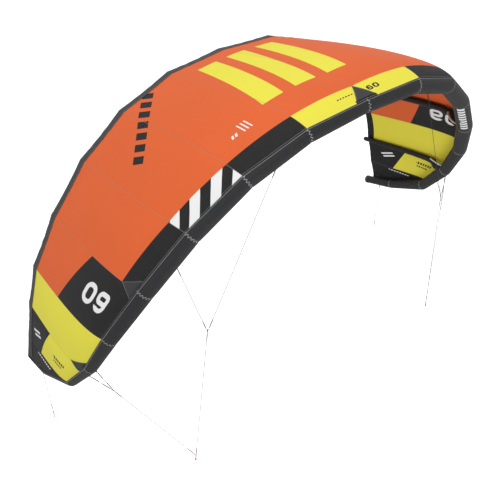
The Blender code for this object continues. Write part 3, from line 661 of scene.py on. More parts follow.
def load_patch(label, seam, side, look):
    """The triangle of doubled cloth over a strut's front end."""
    width = PATCH_HALF_WIDTH / LE_BAYS[seam][0]
    rows, metres = [], []
    for i in range(13):
        share = i / 12
        chord = PATCH_FRONT + (PATCH_POINTS[seam] - PATCH_FRONT) * share
        line, flat = [], []
        for j in range(9):
            across = -1 + j / 4
            span = seam + across * width * max(1 - share, 0.03)
            half = side * (-1 if span < 0 else 1)
            line.append(mirrored(canopy_point(abs(span), chord, PATCH_LIFT), half))
            flat.append((chord, PATCH_HALF_WIDTH * (1 - share) * (1 - abs(across))))
        rows.append(line)
        metres.append(flat)
    obj = grid_mesh(f"load_patch_cloth_{label}", rows, {"metres": metres}, look, thickness=CLOTH)
    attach(obj, KITE)
    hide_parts(f"load_patch_{label}")
    return obj


# ---------------------------------------------------------------- leading-edge sleeve

SLEEVE_SIDES = 56
SLEEVE_RINGS = 22                # rings in each bay
PUCKER = 0.0010                  # depth of the gathers beside a seam
PUCKER_REACH = 0.020
SEAM_PINCH = 0.0010


def pucker(distance, angle, i):
    """How far the sleeve sinks at a place, by its distance from seam i and its angle."""
    near = math.exp(-abs(distance) / PUCKER_REACH)
    gathers = 0.5 + 0.5 * math.sin(angle * 11 + i * 2.1) * math.sin(angle * 4 + i)
    pinch = math.exp(-(distance / 0.006) ** 2)
    return -PUCKER * near * gathers - SEAM_PINCH * pinch


def sleeve_ring(bay, share):
    """One ring of the sleeve on the right half, and its UV pairs."""
    length = LE_BAYS[bay][0]
    span = bay + share
    start = seam_angle(span)
    ring, places, metres = [], [], []
    fullness = 0.012 * (1 - (2 * share - 1) ** 8)
    centre = JOINTS[bay].lerp(JOINTS[bay + 1], share)
    for j in range(SLEEVE_SIDES + 1):
        degrees = start + 360 * j / SLEEVE_SIDES
        near = around_tube(bay, degrees, LE_RADII[bay])
        far = around_tube(bay + 1, degrees, LE_RADII[bay + 1])
        point = near.lerp(far, share)
        out = (point - centre).normalized()
        angle = math.radians(degrees)
        sink = pucker(share * length, angle, bay) + pucker((1 - share) * length, angle, bay + 1)
        radius = at_span(LE_RADII, span)
        ring.append(point + out * (sink + radius * fullness))
        around = radius * math.tau * j / SLEEVE_SIDES
        places.append((span, around if j <= SLEEVE_SIDES / 2 else around - radius * math.tau))
        metres.append((arc_length(span), around))
    return ring, places, metres


def sleeve_rows():
    """Rings of the right half, denser near its seams."""
    rows = []
    for bay in range(LAST):
        for k in range(SLEEVE_RINGS):
            share = 0.5 - 0.5 * math.cos(math.pi * k / SLEEVE_RINGS)
            rows.append(sleeve_ring(bay, share))
    rows.append(sleeve_ring(LAST - 1, 1.0))
    return rows


def sleeve_look():
    look = Look("sleeve_dacron", 0.50, sheen=0.0, specular=0.16)
    u, around = look.uv("place")
    x, y = look.uv("metres")
    cell = look.math("SUBTRACT", look.math("FRACT", look.math("ADD", u, 0.5 + 20)), 0.5)
    across = look.math("MULTIPLY", cell, 0.47)
    joint = look.math("ABSOLUTE", across)
    stitches = look.product(zigzag(look, across, y, 0.0085, 0.024, 0.0026),
                            look.math("LESS_THAN", joint, 0.012))
    offset = look.math("ABSOLUTE", look.math("SUBTRACT", look.math("ABSOLUTE", around), 0.008))
    long_seam = look.math("LESS_THAN", offset, 0.0012)
    weave = thread_grid(look, x, y, 0.0024, 0.0003)
    colour = look.blend(look.product(weave, 0.08), DACRON_BLACK, THREAD)
    tape = look.math("LESS_THAN", joint, 0.012)
    colour = look.blend(look.product(tape, 0.35), colour, rgb(38, 38, 40))
    colour = look.blend(look.product(stitches, 0.85), colour, THREAD)
    colour = look.blend(look.product(long_seam, 0.80), colour, THREAD)
    along, up = turned(look, u, around, (3.43, LETTER_AROUND), 0.0, (0.515, 1.0))
    dashes = bars(look, along, up, 0.43, 0.060, 0.050, 0.62, 0.0)
    colour = look.blend(dashes, colour, WHITE)
    look.colour(look.varied(colour, 0.16, 6.0))
    first = look.bump(look.noise(18.0, 4.0, (1.0, 1.0, 1.0)), 0.004, 0.30)
    second = look.bump(weave, 0.0003, 0.6, first)
    look.bump(look.either(stitches, long_seam, look.product(tape, 0.4)), 0.0010, 0.8, second)
    return look.material


LETTER_AROUND = -0.165           # metres round the tube from the canopy's seam to the printed bars


def leading_edge():
    right = sleeve_rows()
    left = []
    for ring, places, metres in reversed(right[1:]):
        left.append(([mirrored(p, -1) for p in ring], [(-u, v) for u, v in places],
                     [(-x, y) for x, y in metres]))
    rows = left + right
    bm = bmesh.new()
    place_map = bm.loops.layers.uv.new("place")
    metre_map = bm.loops.layers.uv.new("metres")
    verts = [[bm.verts.new(p) for p in ring[:-1]] for ring, _, _ in rows]
    count = SLEEVE_SIDES
    for i in range(len(rows) - 1):
        for j in range(count):
            k = (j + 1) % count
            face = bm.faces.new((verts[i][j], verts[i][k], verts[i + 1][k], verts[i + 1][j]))
            for loop, (a, b) in zip(face.loops, ((i, j), (i, j + 1), (i + 1, j + 1), (i + 1, j))):
                place_uv = rows[a][1][b]
                if b == count // 2 and j >= count // 2:
                    place_uv = (place_uv[0], -place_uv[1])
                loop[place_map].uv = place_uv
                loop[metre_map].uv = rows[a][2][b]
    bm.faces.new(verts[0])
    bm.faces.new(list(reversed(verts[-1])))
    bmesh.ops.recalc_face_normals(bm, faces=bm.faces)
    obj = finish_mesh("leading_edge_sleeve", bm, sleeve_look())
    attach(obj, KITE)
    panels = [f"leading_edge_panel_{i}_{label}" for i in range(1, 8) for label, _ in SIDES]
    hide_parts(*panels, "leading_edge_tip_left", "leading_edge_tip_right")
    return obj


# ---------------------------------------------------------------- struts

def strut_radius(chord):
    front, rear = STRUT_RADIUS
    return front + (rear - front) * chord


def strut_knee(i):
    swept = abs(AXES[i].y)
    distance = (LE_RADII[i] + STRUT_ROOT + STRUT_RADIUS[0] * swept) / math.sqrt(1 - swept ** 2)
    return JOINTS[i] + BACK * distance


def strut_centre(i, chord):
    top = canopy_point(i, chord)
    height = (top - JOINTS[i]).dot(NORMALS[i]) - strut_radius(chord) - STRUT_DROP
    distance = (top - JOINTS[i]).dot(BACK)
    climb = min(1.0, max(0.0, distance / STRUT_RISE))
    climb = climb * climb * (3 - 2 * climb)
    return JOINTS[i] + BACK * distance + NORMALS[i] * (height * climb)


def strut_start(i):
    clear = (strut_knee(i) - JOINTS[i]).dot(BACK) + KNEE_RUN
    chord = 0.0
    while (canopy_point(i, chord) - JOINTS[i]).dot(BACK) < clear:
        chord += SLOPE_STEP
    return chord


def rounded_line(points, radii):
    """A line with its corners rounded by a little, so that what is inside it stays inside, and its radii."""
    centres, widths = [points[0]], [radii[0]]
    for k in range(1, len(points)):
        first = points[k] - points[k - 1]
        if k == len(points) - 1:
            near, near_width = points[k], radii[k]
        else:
            second = points[k + 1] - points[k]
            reach = 2 * CORNER_SAG / max(0.001, math.sin(first.angle(second) / 2))
            reach = min(reach, 0.4 * first.length, 0.4 * second.length)
            near = points[k] - first.normalized() * reach
            far = points[k] + second.normalized() * reach
            near_width = radii[k] + (radii[k - 1] - radii[k]) * reach / first.length
            far_width = radii[k] + (radii[k + 1] - radii[k]) * reach / second.length
        begin, begin_width = centres[-1], widths[-1]
        steps = max(1, round((near - begin).length / RING_STEP))
        for n in range(1, steps + 1):
            centres.append(begin.lerp(near, n / steps))
            widths.append(begin_width + (near_width - begin_width) * n / steps)
        if k < len(points) - 1:
            for n in range(1, 6):
                t = n / 5
                centres.append(near.lerp(points[k], t).lerp(points[k].lerp(far, t), t))
                widths.append(near_width + (far_width - near_width) * t)
    return centres, widths


def strut_route(i):
    """Centres and radii along a strut, from inside the leading edge to its rounded end."""
    start = strut_start(i)
    chords = [start + (1 - start) * k / STRUT_STATIONS for k in range(STRUT_STATIONS + 1)]
    root = JOINTS[i] + BACK * (LE_RADII[i] / 3)
    corners = [root, strut_knee(i)] + [strut_centre(i, c) for c in chords]
    centres, radii = rounded_line(corners, [STRUT_RADIUS[0]] * 2 + [strut_radius(c) for c in chords])
    direction = (centres[-1] - centres[-2]).normalized()
    tail = centres[-1] + direction * (STRUT_OVERHANG - STRUT_NOSE)
    nose = [tail + direction * (STRUT_NOSE * math.sin(math.pi / 2 * k / 6)) for k in range(7)]
    nose_radii = [radii[-1] * max(0.06, math.cos(math.pi / 2 * k / 6)) for k in range(7)]
    return centres + nose, radii + nose_radii


def ring_round(centre, tangent, up, radius, sides):
    """A ring of points about a centre, starting on top."""
    over = (up - up.dot(tangent) * tangent).normalized()
    side = tangent.cross(over)
    return [centre + radius * (math.cos(math.tau * j / sides) * over + math.sin(math.tau * j / sides) * side)
            for j in range(sides + 1)]


def tube_rows(centres, radii, up, sides):
    rows, metres = [], []
    length = 0.0
    for k, (centre, radius) in enumerate(zip(centres, radii)):
        before, after = centres[max(0, k - 1)], centres[min(len(centres) - 1, k + 1)]
        tangent = (after - before).normalized()
        if k:
            length += (centre - centres[k - 1]).length
        rows.append(ring_round(centre, tangent, up, radius, sides))
        metres.append([(length, radius * math.tau * j / sides) for j in range(sides + 1)])
    return rows, metres


def closed_tube(name, rows, metres, material):
    bm = bmesh.new()
    layer = bm.loops.layers.uv.new("metres")
    verts = [[bm.verts.new(p) for p in row[:-1]] for row in rows]
    count = len(rows[0]) - 1
    for i in range(len(rows) - 1):
        for j in range(count):
            k = (j + 1) % count
            face = bm.faces.new((verts[i][j], verts[i][k], verts[i + 1][k], verts[i + 1][j]))
            for loop, (a, b) in zip(face.loops, ((i, j), (i, j + 1), (i + 1, j + 1), (i + 1, j))):
                loop[layer].uv = metres[a][b]
    bm.faces.new(verts[0])
    bm.faces.new(list(reversed(verts[-1])))
    bmesh.ops.recalc_face_normals(bm, faces=bm.faces)
    return finish_mesh(name, bm, material)


def strut_look():
    look = Look("strut_dacron_cloth", 0.52, sheen=0.0, specular=0.2)
    x, y = look.uv("metres")
    weave = thread_grid(look, x, y, 0.0024, 0.0003)
    seam = look.math("ABSOLUTE", look.math("SUBTRACT", y, 0.010))
    stitches = look.product(look.math("LESS_THAN", seam, 0.0012),
                            look.math("LESS_THAN", look.math("FRACT", look.math("DIVIDE", x, 0.008)), 0.7))
    colour = look.blend(look.product(weave, 0.06), STRUT_BLACK, THREAD)
    colour = look.blend(look.product(stitches, 0.7), colour, THREAD)
    look.colour(look.varied(colour, 0.2, 7.0))
    first = look.bump(look.noise(16.0, 3.0, (1.0, 0.4, 1.0)), 0.004, 0.35)
    look.bump(stitches, 0.0008, 0.7, look.bump(weave, 0.0003, 0.5, first))
    return look.material


def struts():
    look = strut_look()
    for label, seam, side in STRUTS:
        centres, radii = strut_route(seam)
        soft = [r - 0.0003 + 0.0003 * math.cos(k * 1.9 + seam) for k, r in enumerate(radii)]
        rows, metres = tube_rows([mirrored(p, side) for p in centres], soft, mirrored(NORMALS[seam], side), 32)
        obj = closed_tube(f"strut_sleeve_{label}", rows, metres, look)
        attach(obj, KITE)
        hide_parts(f"strut_{label}")


# ---------------------------------------------------------------- tip caps

CAP_SKIRT = 0.028
CAP_INNER = 0.0385
CAP_WALL = 0.0014


def turned_solid(name, profile, steps, matrix, material):
    """A closed profile of (radius, height) points turned about its axis, then set in place."""
    bm = bmesh.new()
    ring = [bm.verts.new((radius, 0.0, height)) for radius, height in profile]
    pairs = list(zip(ring, ring[1:])) + ([] if profile[0][0] == 0.0 else [(ring[-1], ring[0])])
    edges = [bm.edges.new(pair) for pair in pairs]
    bmesh.ops.spin(bm, geom=ring + edges, axis=(0, 0, 1), cent=(0, 0, 0), angle=math.tau, steps=steps,
                   use_merge=True, use_duplicate=False)
    bmesh.ops.remove_doubles(bm, verts=bm.verts, dist=0.00001)
    bmesh.ops.recalc_face_normals(bm, faces=bm.faces)
    bm.transform(matrix)
    return finish_mesh(name, bm, material, sharp=50)


def upright(axis, origin):
    turn = Vector((0, 0, 1)).rotation_difference(axis).to_matrix().to_4x4()
    return Matrix.Translation(origin) @ turn


def cap_look():
    look = Look("tip_cap_cloth", 0.62, sheen=0.02, specular=0.25)
    rings = look.noise(60.0, 4.0)
    look.colour(look.varied(rgb(40, 40, 42), 0.25, 30.0))
    look.bump(rings, 0.0015, 0.4)
    return look.material


def tip_caps():
    """Gathered cloth cups over the tube's ends, each held by a webbing band."""
    look = cap_look()
    band_look = webbing_look("cap_band_webbing", rgb(96, 97, 100))
    outer = CAP_INNER + CAP_WALL
    profile = [(0.0, 0.0004), (CAP_INNER * 0.97, 0.0004), (CAP_INNER, -0.002), (CAP_INNER, -CAP_SKIRT),
               (outer, -CAP_SKIRT - 0.0004), (outer + 0.0003, -CAP_SKIRT / 2), (outer, -0.002),
               (outer * 0.96, 0.0008), (outer * 0.85, 0.0022), (outer * 0.5, 0.0030), (0.0, 0.0032)]
    band = [(outer + 0.0003, -0.021), (outer + 0.0013, -0.0205), (outer + 0.0013, -0.0105), (outer + 0.0003, -0.010)]
    for label, side in SIDES:
        matrix = upright(mirrored(AXES[-1], side), mirrored(JOINTS[-1], side))
        cap = turned_solid(f"tip_cap_cloth_{label}", profile, 48, matrix, look)
        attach(cap, KITE)
        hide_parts(f"tip_cap_{label}")
        strap = turned_solid(f"tip_cap_band_{label}", band, 48, matrix, band_look)
        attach(strap, KITE)


def webbing_look(name, shade):
    look = Look(name, 0.7, sheen=0.03, specular=0.25)
    grain = look.noise(420.0, 2.0)
    look.colour(look.varied(shade, 0.3, 180.0))
    look.bump(grain, 0.0006, 0.6)
    return look.material


# ---------------------------------------------------------------- hoses, valve and hidden bladders

HOSE_RADIUS = 0.0065
HOSE_SIDE = 0.062
HOSE_BOW = 0.034
HOSE_SINK = 0.002                # how far a hose's end goes into the tube or the strut
GAP = 0.0004


def hose_route(seam):
    inward = -1 if seam else 1
    axis = (JOINTS[seam + inward] - JOINTS[seam]).normalized()
    normal = NORMALS[seam]
    start_centre = JOINTS[seam] + axis * HOSE_SIDE
    leave = (BACK - normal * 0.55).normalized()
    leave = (leave - leave.dot(axis) * axis).normalized()
    start = start_centre + leave * (LE_RADII[seam] + HOSE_RADIUS * 0.8 + GAP)
    side_way = (axis - axis.dot(BACK) * BACK).normalized()
    enter_centre = strut_centre(seam, strut_start(seam) + SLOPE_STEP)
    enter_way = (side_way - normal * 0.5).normalized()
    enter = enter_centre + enter_way * (STRUT_RADIUS[0] + HOSE_RADIUS)
    return start, leave, enter, enter_way


def hose_look():
    look = Look("hose_silicone_tube", 0.35)
    look.colour(look.varied(rgb(196, 197, 196), 0.12, 40.0))
    look.shader.inputs["Subsurface Weight"].default_value = 0.15
    look.shader.inputs["Subsurface Radius"].default_value = (0.004, 0.004, 0.004)
    look.bump(look.noise(90.0), 0.0006, 0.25)
    return look.material


def hoses():
    tube = hose_look()
    clamp_look = Look("hose_clamp_plastic", 0.38)
    clamp_look.colour(clamp_look.varied(rgb(40, 41, 44), 0.2, 60.0))
    clamp_look.bump(clamp_look.noise(200.0), 0.0003, 0.3)
    collar_look = webbing_look("hose_collar_cloth", rgb(44, 44, 47))
    ring = [(HOSE_RADIUS + 0.0002, -0.003), (HOSE_RADIUS + 0.0018, -0.003), (HOSE_RADIUS + 0.0022, 0.0),
            (HOSE_RADIUS + 0.0018, 0.003), (HOSE_RADIUS + 0.0002, 0.003)]
    collar = [(HOSE_RADIUS + 0.0002, -0.0005), (HOSE_RADIUS + 0.007, -0.0012), (HOSE_RADIUS + 0.0062, 0.0008),
              (HOSE_RADIUS + 0.0024, 0.0030), (HOSE_RADIUS + 0.0002, 0.0036)]
    for label, seam, side in STRUTS:
        start, leave, enter, enter_way = hose_route(seam)
        points = interpolate_bezier(start, start + leave * HOSE_BOW, enter + enter_way * HOSE_BOW, enter, 24)
        seats = {"front": start - leave * HOSE_RADIUS * 0.8, "rear": enter - enter_way * HOSE_RADIUS}
        points = [seats["front"] - leave * HOSE_SINK] + points + [seats["rear"] - enter_way * HOSE_SINK]
        centres = [mirrored(p, side) for p in points]
        up = mirrored(NORMALS[seam], side)
        rows, metres = tube_rows(centres, [HOSE_RADIUS] * len(centres), up, 20)
        obj = closed_tube(f"air_hose_tube_{label}", rows, metres, tube)
        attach(obj, KITE)
        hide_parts(f"air_hose_{label}")
        for end, k, sign in (("front", 1, 1), ("rear", -2, -1)):
            direction = (centres[k + sign] - centres[k]).normalized()
            clamp = turned_solid(f"hose_clamp_{end}_{label}", ring, 32,
                                 upright(direction, centres[k] + direction * 0.010), clamp_look.material)
            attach(clamp, KITE)
            base = turned_solid(f"hose_collar_{end}_{label}", collar, 32,
                                upright(direction, mirrored(seats[end], side) + direction * 0.001), collar_look)
            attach(base, KITE)


def kept_nodes():
    """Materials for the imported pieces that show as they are: the valve, and the bladders inside the sleeves."""
    plastic = Look("moulded_valve_plastic", 0.36)
    plastic.colour(plastic.varied(rgb(36, 37, 40), 0.2, 80.0))
    plastic.bump(plastic.noise(350.0, 4.0), 0.0002, 0.4)
    film = Look("bladder_film_clear", 0.28)
    film.colour(film.varied(rgb(214, 216, 214), 0.1, 12.0))
    film.bump(film.noise(25.0, 3.0), 0.003, 0.5)
    for name, node in NODES.items():
        if name.startswith("inflation_valve"):
            look = plastic
        elif "bladder" in name:
            look = film
        else:
            continue
        for slot in node.material_slots:
            slot.material = look.material


# ---------------------------------------------------------------- bridle

LINE_RADIUS = 0.0018
SLEEVE_LENGTH = 0.10
LINE_STANDOFF = 0.006
UPPER_YOKE_ENDS = (1.52, 3.50)
LOWER_YOKE_ENDS = (6.05, 6.38)
UPPER_KNOT = Vector((1.242, 0.294, -1.364))
LOWER_KNOT = Vector((1.853, 0.751, -1.862))
FRONT_POINT = Vector((1.399, 0.510, -2.749))
YOKE_BEND = 0.009
JOIN_CLEARANCE = 0.012
OPEN_CLEARANCE = 0.022
PIGTAIL_LENGTH = 0.050
LOOP_RADIUS = 0.0105
LOWER_REACH = 0.008              # how far the lower line's knot reaches into the gap at the front point
BACK_SPAN = 8.50
BACK_END = Vector((2.038, 1.819, -2.759))
BACK_PIGTAIL = {"left": 0.115, "right": 0.0}


def under_tube(span, target):
    """The point just off the tube's surface that faces target."""
    centre = at_span(JOINTS, span)
    bay, _ = bay_of(span)
    axis = (JOINTS[bay + 1] - JOINTS[bay]).normalized()
    way = target - centre
    way = (way - way.dot(axis) * axis).normalized()
    return centre + way * (at_span(LE_RADII, span) + LINE_STANDOFF)


def straight(start, end, count):
    return [start.lerp(end, k / (count - 1)) for k in range(count)]


def yoke_route(start, knot, end):
    """A line from start round a small bend at knot and back up to end."""
    to_start = (start - knot).normalized()
    to_end = (end - knot).normalized()
    half = to_start.angle(to_end) / 2
    centre = knot + (to_start + to_end).normalized() * YOKE_BEND
    normal = to_end.cross(to_start).normalized()
    sweep = math.pi - 2 * half
    begin = normal.cross(to_start).normalized() * YOKE_BEND
    arc = [centre + Matrix.Rotation(sweep * k / 7, 3, normal) @ begin for k in range(8)]
    return straight(start, arc[0], 12)[:-1] + arc + straight(arc[-1], end, 12)[1:]


def line_look(name, shade):
    """Braided line: fine slanting plaits in the colour and the surface."""
    look = Look(name, 0.72, sheen=0.02, specular=0.25)
    place = look.tree.nodes.new("ShaderNodeTexCoord")
    wave = look.tree.nodes.new("ShaderNodeTexWave")
    wave.inputs["Scale"].default_value = 260.0
    wave.inputs["Distortion"].default_value = 2.0
    look.tree.links.new(place.outputs["Object"], wave.inputs["Vector"])
    plaits = wave.outputs[1]
    dark = tuple(0.55 * c for c in shade[:3]) + (1.0,)
    look.colour(look.blend(look.product(plaits, 0.6), shade, dark))
    look.bump(plaits, 0.0004, 0.6)
    return look.material


def line_curve(name, points, radius, material, side):
    curve = bpy.data.curves.new(name, "CURVE")
    curve.dimensions = "3D"
    curve.bevel_depth = radius
    curve.bevel_resolution = 2
    curve.use_fill_caps = True
    spline = curve.splines.new("POLY")
    spline.points.add(len(points) - 1)
    for target, point in zip(spline.points, points):
        target.co = (*mirrored(point, side), 1.0)
        target.radius = 1.0
    return new_object(name, curve, [material])


def spindle(name, start, end, radius, material, side, grooves=0):
    """A sleeve or a knot on a line: a tapered round piece, bound by grooves where it is a knot."""
    steps = 6 * max(1, grooves) + 8
    rows, metres = [], []
    along = (end - start).normalized()
    up = along.orthogonal()
    for k in range(steps + 1):
        share = k / steps
        taper = min(1.0, 0.35 + 0.65 * min(share, 1 - share) * steps / 2.5)
        bound = 1 - 0.16 * (0.5 + 0.5 * math.cos(math.tau * share * grooves)) if grooves else 1.0
        ring = ring_round(start.lerp(end, share), along, up, radius * taper * bound, 14)
        rows.append([mirrored(p, side) for p in ring])
        metres.append([((end - start).length * share, radius * math.tau * j / 14) for j in range(15)])
    return closed_tube(name, rows, metres, material)


def path_length(points):
    return sum((b - a).length for a, b in zip(points, points[1:]))


def on_line(points, distance):
    """The point a distance along a line, from its end where the distance is negative."""
    if distance < 0:
        return on_line(list(reversed(points)), -distance)
    for a, b in zip(points, points[1:]):
        step = (b - a).length
        if distance <= step:
            return a.lerp(b, distance / step)
        distance -= step
    return points[-1]


def attachment_tab(name, foot, tip, axis, look, side):
    """A short loop of webbing, sewn to the tube, that holds the end of a line."""
    way = (tip - foot).normalized()
    across = axis.normalized()
    thick = way.cross(across).normalized()
    bm = bmesh.new()
    outline = []
    for k in range(9):
        angle = math.pi * k / 8
        outline.append((math.cos(angle) * 0.0042, 0.0045 + math.sin(angle) * 0.0042))
    outline = [(0.0042, -0.0045)] + outline + [(-0.0042, -0.0045)]
    inner = [(x * 0.62, y if y < 0 else 0.0045 + (y - 0.0045) * 0.62) for x, y in outline]
    rings = []
    for half in (-0.007, 0.007):
        rings.append([[bm.verts.new(mirrored(foot + thick * x + way * y + across * half, side))
                       for x, y in line] for line in (outline, inner)])
    (outer_a, inner_a), (outer_b, inner_b) = rings
    for k in range(len(outline) - 1):
        for a, b in ((outer_a, outer_b), (inner_b, inner_a), (outer_b, inner_b), (inner_a, outer_a)):
            bm.faces.new((a[k], a[k + 1], b[k + 1], b[k]))
    for k in (0, -1):
        bm.faces.new((outer_a[k], inner_a[k], inner_b[k], outer_b[k]))
    bmesh.ops.recalc_face_normals(bm, faces=bm.faces)
    obj = finish_mesh(name, bm, look, sharp=35)
    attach(obj, KITE)


def declare_line(obj, node, body, extras):
    for piece in [obj] + extras:
        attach(piece, body)
    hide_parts(node)


def bridle():
    grey = line_look("bridle_line_braid", rgb(46, 47, 50))
    red = line_look("pigtail_braid_red", rgb(190, 24, 30))
    black = line_look("line_sleeve_braid", rgb(22, 22, 24))
    tab_look = webbing_look("tab_webbing", rgb(40, 40, 43))
    upper_ends = [under_tube(span, UPPER_KNOT) for span in UPPER_YOKE_ENDS]
    lower_ends = [under_tube(span, LOWER_KNOT) for span in LOWER_YOKE_ENDS]
    upper_start = UPPER_KNOT + (FRONT_POINT - UPPER_KNOT).normalized() * JOIN_CLEARANCE
    lower_start = LOWER_KNOT + (FRONT_POINT - LOWER_KNOT).normalized() * JOIN_CLEARANCE
    lower_end = FRONT_POINT + (LOWER_KNOT - FRONT_POINT).normalized() * OPEN_CLEARANCE
    pigtail_way = (FRONT_POINT - UPPER_KNOT).normalized()
    pigtail_start = FRONT_POINT + pigtail_way * JOIN_CLEARANCE
    back_start = under_tube(BACK_SPAN, BACK_END)
    back_way = (BACK_END - back_start).normalized()
    routes = {
        "upper_bridle_yoke": yoke_route(upper_ends[0], UPPER_KNOT, upper_ends[1]),
        "lower_bridle_yoke": yoke_route(lower_ends[0], LOWER_KNOT, lower_ends[1]),
        "upper_bridle_line": straight(upper_start, FRONT_POINT, 16),
        "lower_bridle_line": straight(lower_start, lower_end, 16),
        "front_pigtail": straight(pigtail_start, pigtail_start + pigtail_way * PIGTAIL_LENGTH, 15),
    }
    for label, side in SIDES:
        back_end = BACK_END + back_way * BACK_PIGTAIL[label]
        for part, points in {**routes, "back_leader": straight(back_start, back_end, 16)}.items():
            node = f"{part}_{label}"
            pigtail_red = node == "front_pigtail_left"
            obj = line_curve(f"{part}_cord_{label}", points, LINE_RADIUS, red if pigtail_red else grey, side)
            extras = line_extras(part, label, points, side, black, red)
            declare_line(obj, node, node, extras)
        spots = [("upper_outer", UPPER_YOKE_ENDS[0], upper_ends[0]), ("upper_inner", UPPER_YOKE_ENDS[1], upper_ends[1]),
                 ("lower_outer", LOWER_YOKE_ENDS[0], lower_ends[0]), ("lower_inner", LOWER_YOKE_ENDS[1], lower_ends[1]),
                 ("back", BACK_SPAN, back_start)]
        for spot, span, tip in spots:
            bay, _ = bay_of(span)
            axis = JOINTS[bay + 1] - JOINTS[bay]
            centre = at_span(JOINTS, span)
            foot = tip + (centre - tip).normalized() * LINE_STANDOFF
            attachment_tab(f"line_tab_{spot}_{label}", foot, tip, axis, tab_look, side)


def end_loop(name, points, material, side):
    """The loop at a pigtail's end, where a flying line is hitched on."""
    along = (points[-1] - points[0]).normalized()
    across = along.cross(BACK).normalized()
    middle = points[-1] - along * LOOP_RADIUS
    centres = [middle + LOOP_RADIUS * (math.sin(math.tau * k / 24) * across * 0.7 - math.cos(math.tau * k / 24) * along)
               for k in range(25)]
    normal = along.cross(across)
    rows, metres = [], []
    for k in range(24):
        tangent = (centres[k + 1] - centres[k - 1 if k else 23]).normalized()
        rows.append([mirrored(p, side) for p in ring_round(centres[k], tangent, normal, LINE_RADIUS * 1.3, 12)])
        metres.append([(k * 0.003, j * 0.001) for j in range(13)])
    rows.append(rows[0])
    metres.append([(24 * 0.003, y) for _, y in metres[0]])
    obj = grid_mesh(name, [row[:-1] for row in rows], {"metres": metres}, material, close=True)
    bm = bmesh.new()
    bm.from_mesh(obj.data)
    bmesh.ops.remove_doubles(bm, verts=bm.verts, dist=0.00001)
    bmesh.ops.recalc_face_normals(bm, faces=bm.faces)
    bm.to_mesh(obj.data)
    bm.free()
    return obj


def hitch(name, points, gap, over, material, side):
    """The knot that ties a line's first end to what is a gap away from it, and reaches a little over that."""
    along = (points[1] - points[0]).normalized()
    return spindle(name, points[0] - along * (gap + over), points[0] + along * 0.009,
                   LINE_RADIUS * 2.3, material, side, grooves=3)


def line_extras(part, label, points, side, black, red):
    """The dark sleeves and the knots of one line."""
    pieces = []
    total = path_length(points)
    thick = LINE_RADIUS * 1.8

    def sleeve(end, start, stop):
        pieces.append(spindle(f"{part}_sleeve_{end}_{label}", on_line(points, start), on_line(points, stop),
                              thick, black, side))

    def knot(end, place, material):
        along = (on_line(points, min(total, place + 0.006)) - on_line(points, max(0.0, place - 0.006)))
        middle = on_line(points, place)
        half = along.normalized() * 0.0055
        pieces.append(spindle(f"{part}_knot_{end}_{label}", middle - half, middle + half,
                              LINE_RADIUS * 2.5, material, side, grooves=2))

    if part.endswith("yoke"):
        legs = [(points[0] - points[11]).length, total - (points[-1] - points[-12]).length]
        reach = min(SLEEVE_LENGTH, legs[0] * 0.42)
        sleeve("start", 0.001, reach)
        sleeve("knot_start", legs[0] - reach, legs[0] - 0.002)
        sleeve("knot_end", legs[1] + 0.002, legs[1] + reach)
        sleeve("end", total - reach, total - 0.001)
        pieces.append(spindle(f"{part}_knot_loop_{label}", on_line(points, sum(legs) / 2 - 0.005),
                              on_line(points, sum(legs) / 2 + 0.005), LINE_RADIUS * 1.8, black, side, grooves=2))
    elif part.endswith("bridle_line"):
        sleeve("start", 0.014, SLEEVE_LENGTH)
        sleeve("end", total - SLEEVE_LENGTH, total - 0.012)
        pieces.append(hitch(f"{part}_knot_start_{label}", points, JOIN_CLEARANCE, 0.0055, black, side))
        if part == "lower_bridle_line":
            back = list(reversed(points))
            pieces.append(hitch(f"{part}_knot_end_{label}", back, LOWER_REACH, 0.0, black, side))
        else:
            knot("end", total - 0.006, black)
    elif part == "front_pigtail":
        material = red if label == "left" else black
        pieces.append(hitch(f"{part}_knot_start_{label}", points, JOIN_CLEARANCE, 0.002, material, side))
        knot("end", total - 0.026, material)
        pieces.append(end_loop(f"front_pigtail_loop_{label}", points, material, side))
    else:
        sleeve("start", 0.001, 0.045)
        if label == "left":
            sleeve("middle", total - 0.195, total - 0.115)
            pieces.append(spindle("back_leader_tail_left", on_line(points, total - 0.112),
                                  on_line(points, total - 0.012), LINE_RADIUS * 2.0, red, side))
            knot("end", total - 0.006, red)
        else:
            sleeve("end", total - 0.10, total - 0.012)
            knot("end", total - 0.006, black)
    return pieces


# ---------------------------------------------------------------- stage, camera and lights

CAMERA_PLACE = (-3.343, -3.257, 2.136)
CAMERA_TURN = -35.50
CAMERA_HEIGHT = 34.81
CAMERA_ROLL = -5.81
CAMERA_LENS = 55.23
FLOOR_DROP = 1.6
WORLD_BELOW = 0.60               # strength of the light from straight below, and from straight above
WORLD_ABOVE = 1.00


def camera():
    turn, height = math.radians(CAMERA_TURN), math.radians(CAMERA_HEIGHT)
    back = Vector((math.sin(turn) * math.cos(height), -math.cos(turn) * math.cos(height), math.sin(height)))
    right = (-back).cross(Vector((0, 0, 1))).normalized()
    up = right.cross(-back)
    roll = math.radians(CAMERA_ROLL)
    x_axis = math.cos(roll) * right + math.sin(roll) * up
    y_axis = -math.sin(roll) * right + math.cos(roll) * up
    data = bpy.data.cameras.new("camera")
    data.lens = CAMERA_LENS
    data.sensor_width = 36.0
    data.clip_end = 200.0
    obj = bpy.data.objects.new("camera", data)
    obj.matrix_world = Matrix.Translation(CAMERA_PLACE) @ Matrix((x_axis, y_axis, back)).transposed().to_4x4()
    bpy.context.scene.collection.objects.link(obj)
    bpy.context.scene.camera = obj


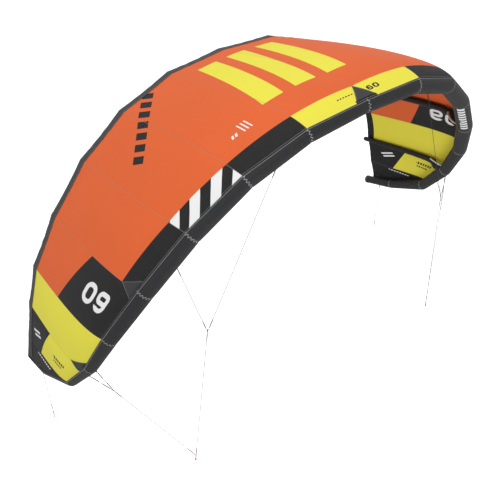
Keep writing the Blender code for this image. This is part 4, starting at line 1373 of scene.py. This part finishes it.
def floor():
    bm = bmesh.new()
    bmesh.ops.create_grid(bm, x_segments=8, y_segments=8, size=90.0)
    look = Look("pale_floor", 0.9, specular=0.1)
    look.colour(look.varied(rgb(250, 250, 250), 0.01, 0.4))
    look.shader.inputs["Emission Color"].default_value = (1.0, 1.0, 1.0, 1.0)
    look.shader.inputs["Emission Strength"].default_value = 0.35
    obj = finish_mesh("floor", bm, look.material)
    obj.location = (0.0, 0.0, CAD_BOX[0][2] - FLOOR_DROP)
    obj.visible_diffuse = False
    obj.visible_glossy = False


def area_light(name, place, target, size, power):
    data = bpy.data.lights.new(name, "AREA")
    data.shape = "DISK"
    data.size = size
    data.energy = power
    obj = bpy.data.objects.new(name, data)
    obj.location = place
    obj.rotation_mode = "QUATERNION"
    obj.rotation_quaternion = (Vector(target) - Vector(place)).to_track_quat("-Z", "Y")
    obj.visible_camera = False
    bpy.context.scene.collection.objects.link(obj)


def lights():
    bpy.context.scene.view_settings.view_transform = "Standard"
    world = bpy.data.worlds.new("studio")
    bpy.context.scene.world = world
    world.use_nodes = True
    tree = world.node_tree
    place = tree.nodes.new("ShaderNodeTexCoord")
    parts = tree.nodes.new("ShaderNodeSeparateXYZ")
    ramp = tree.nodes.new("ShaderNodeMapRange")
    ramp.inputs["From Min"].default_value = -1.0
    ramp.inputs["To Min"].default_value = WORLD_BELOW
    ramp.inputs["To Max"].default_value = WORLD_ABOVE
    tree.links.new(place.outputs["Generated"], parts.inputs[0])
    tree.links.new(parts.outputs["Z"], ramp.inputs["Value"])
    tree.links.new(ramp.outputs[0], tree.nodes["Background"].inputs["Strength"])
    tree.nodes["Background"].inputs["Color"].default_value = (1.0, 1.0, 1.0, 1.0)
    middle = (0.0, 0.8, -1.0)
    area_light("key", (-7.0, -5.5, 6.5), middle, 6.0, 380.0)
    area_light("top", (2.0, 2.0, 9.0), middle, 7.0, 190.0)
    area_light("fill", (-0.8, -1.6, -2.2), (1.9, 0.9, -1.4), 1.5, 42.0)


# ---------------------------------------------------------------- build

camera()
floor()
lights()
CANOPY = canopy()
HEM = hem()
PATCH_LOOK = reinforcement_look("patch_cloth", rgb(40, 40, 42))
PATCHES = [load_patch(label, seam, side, PATCH_LOOK) for label, seam, side in STRUTS]
leading_edge()
struts()
tip_caps()
hoses()
kept_nodes()
bridle()
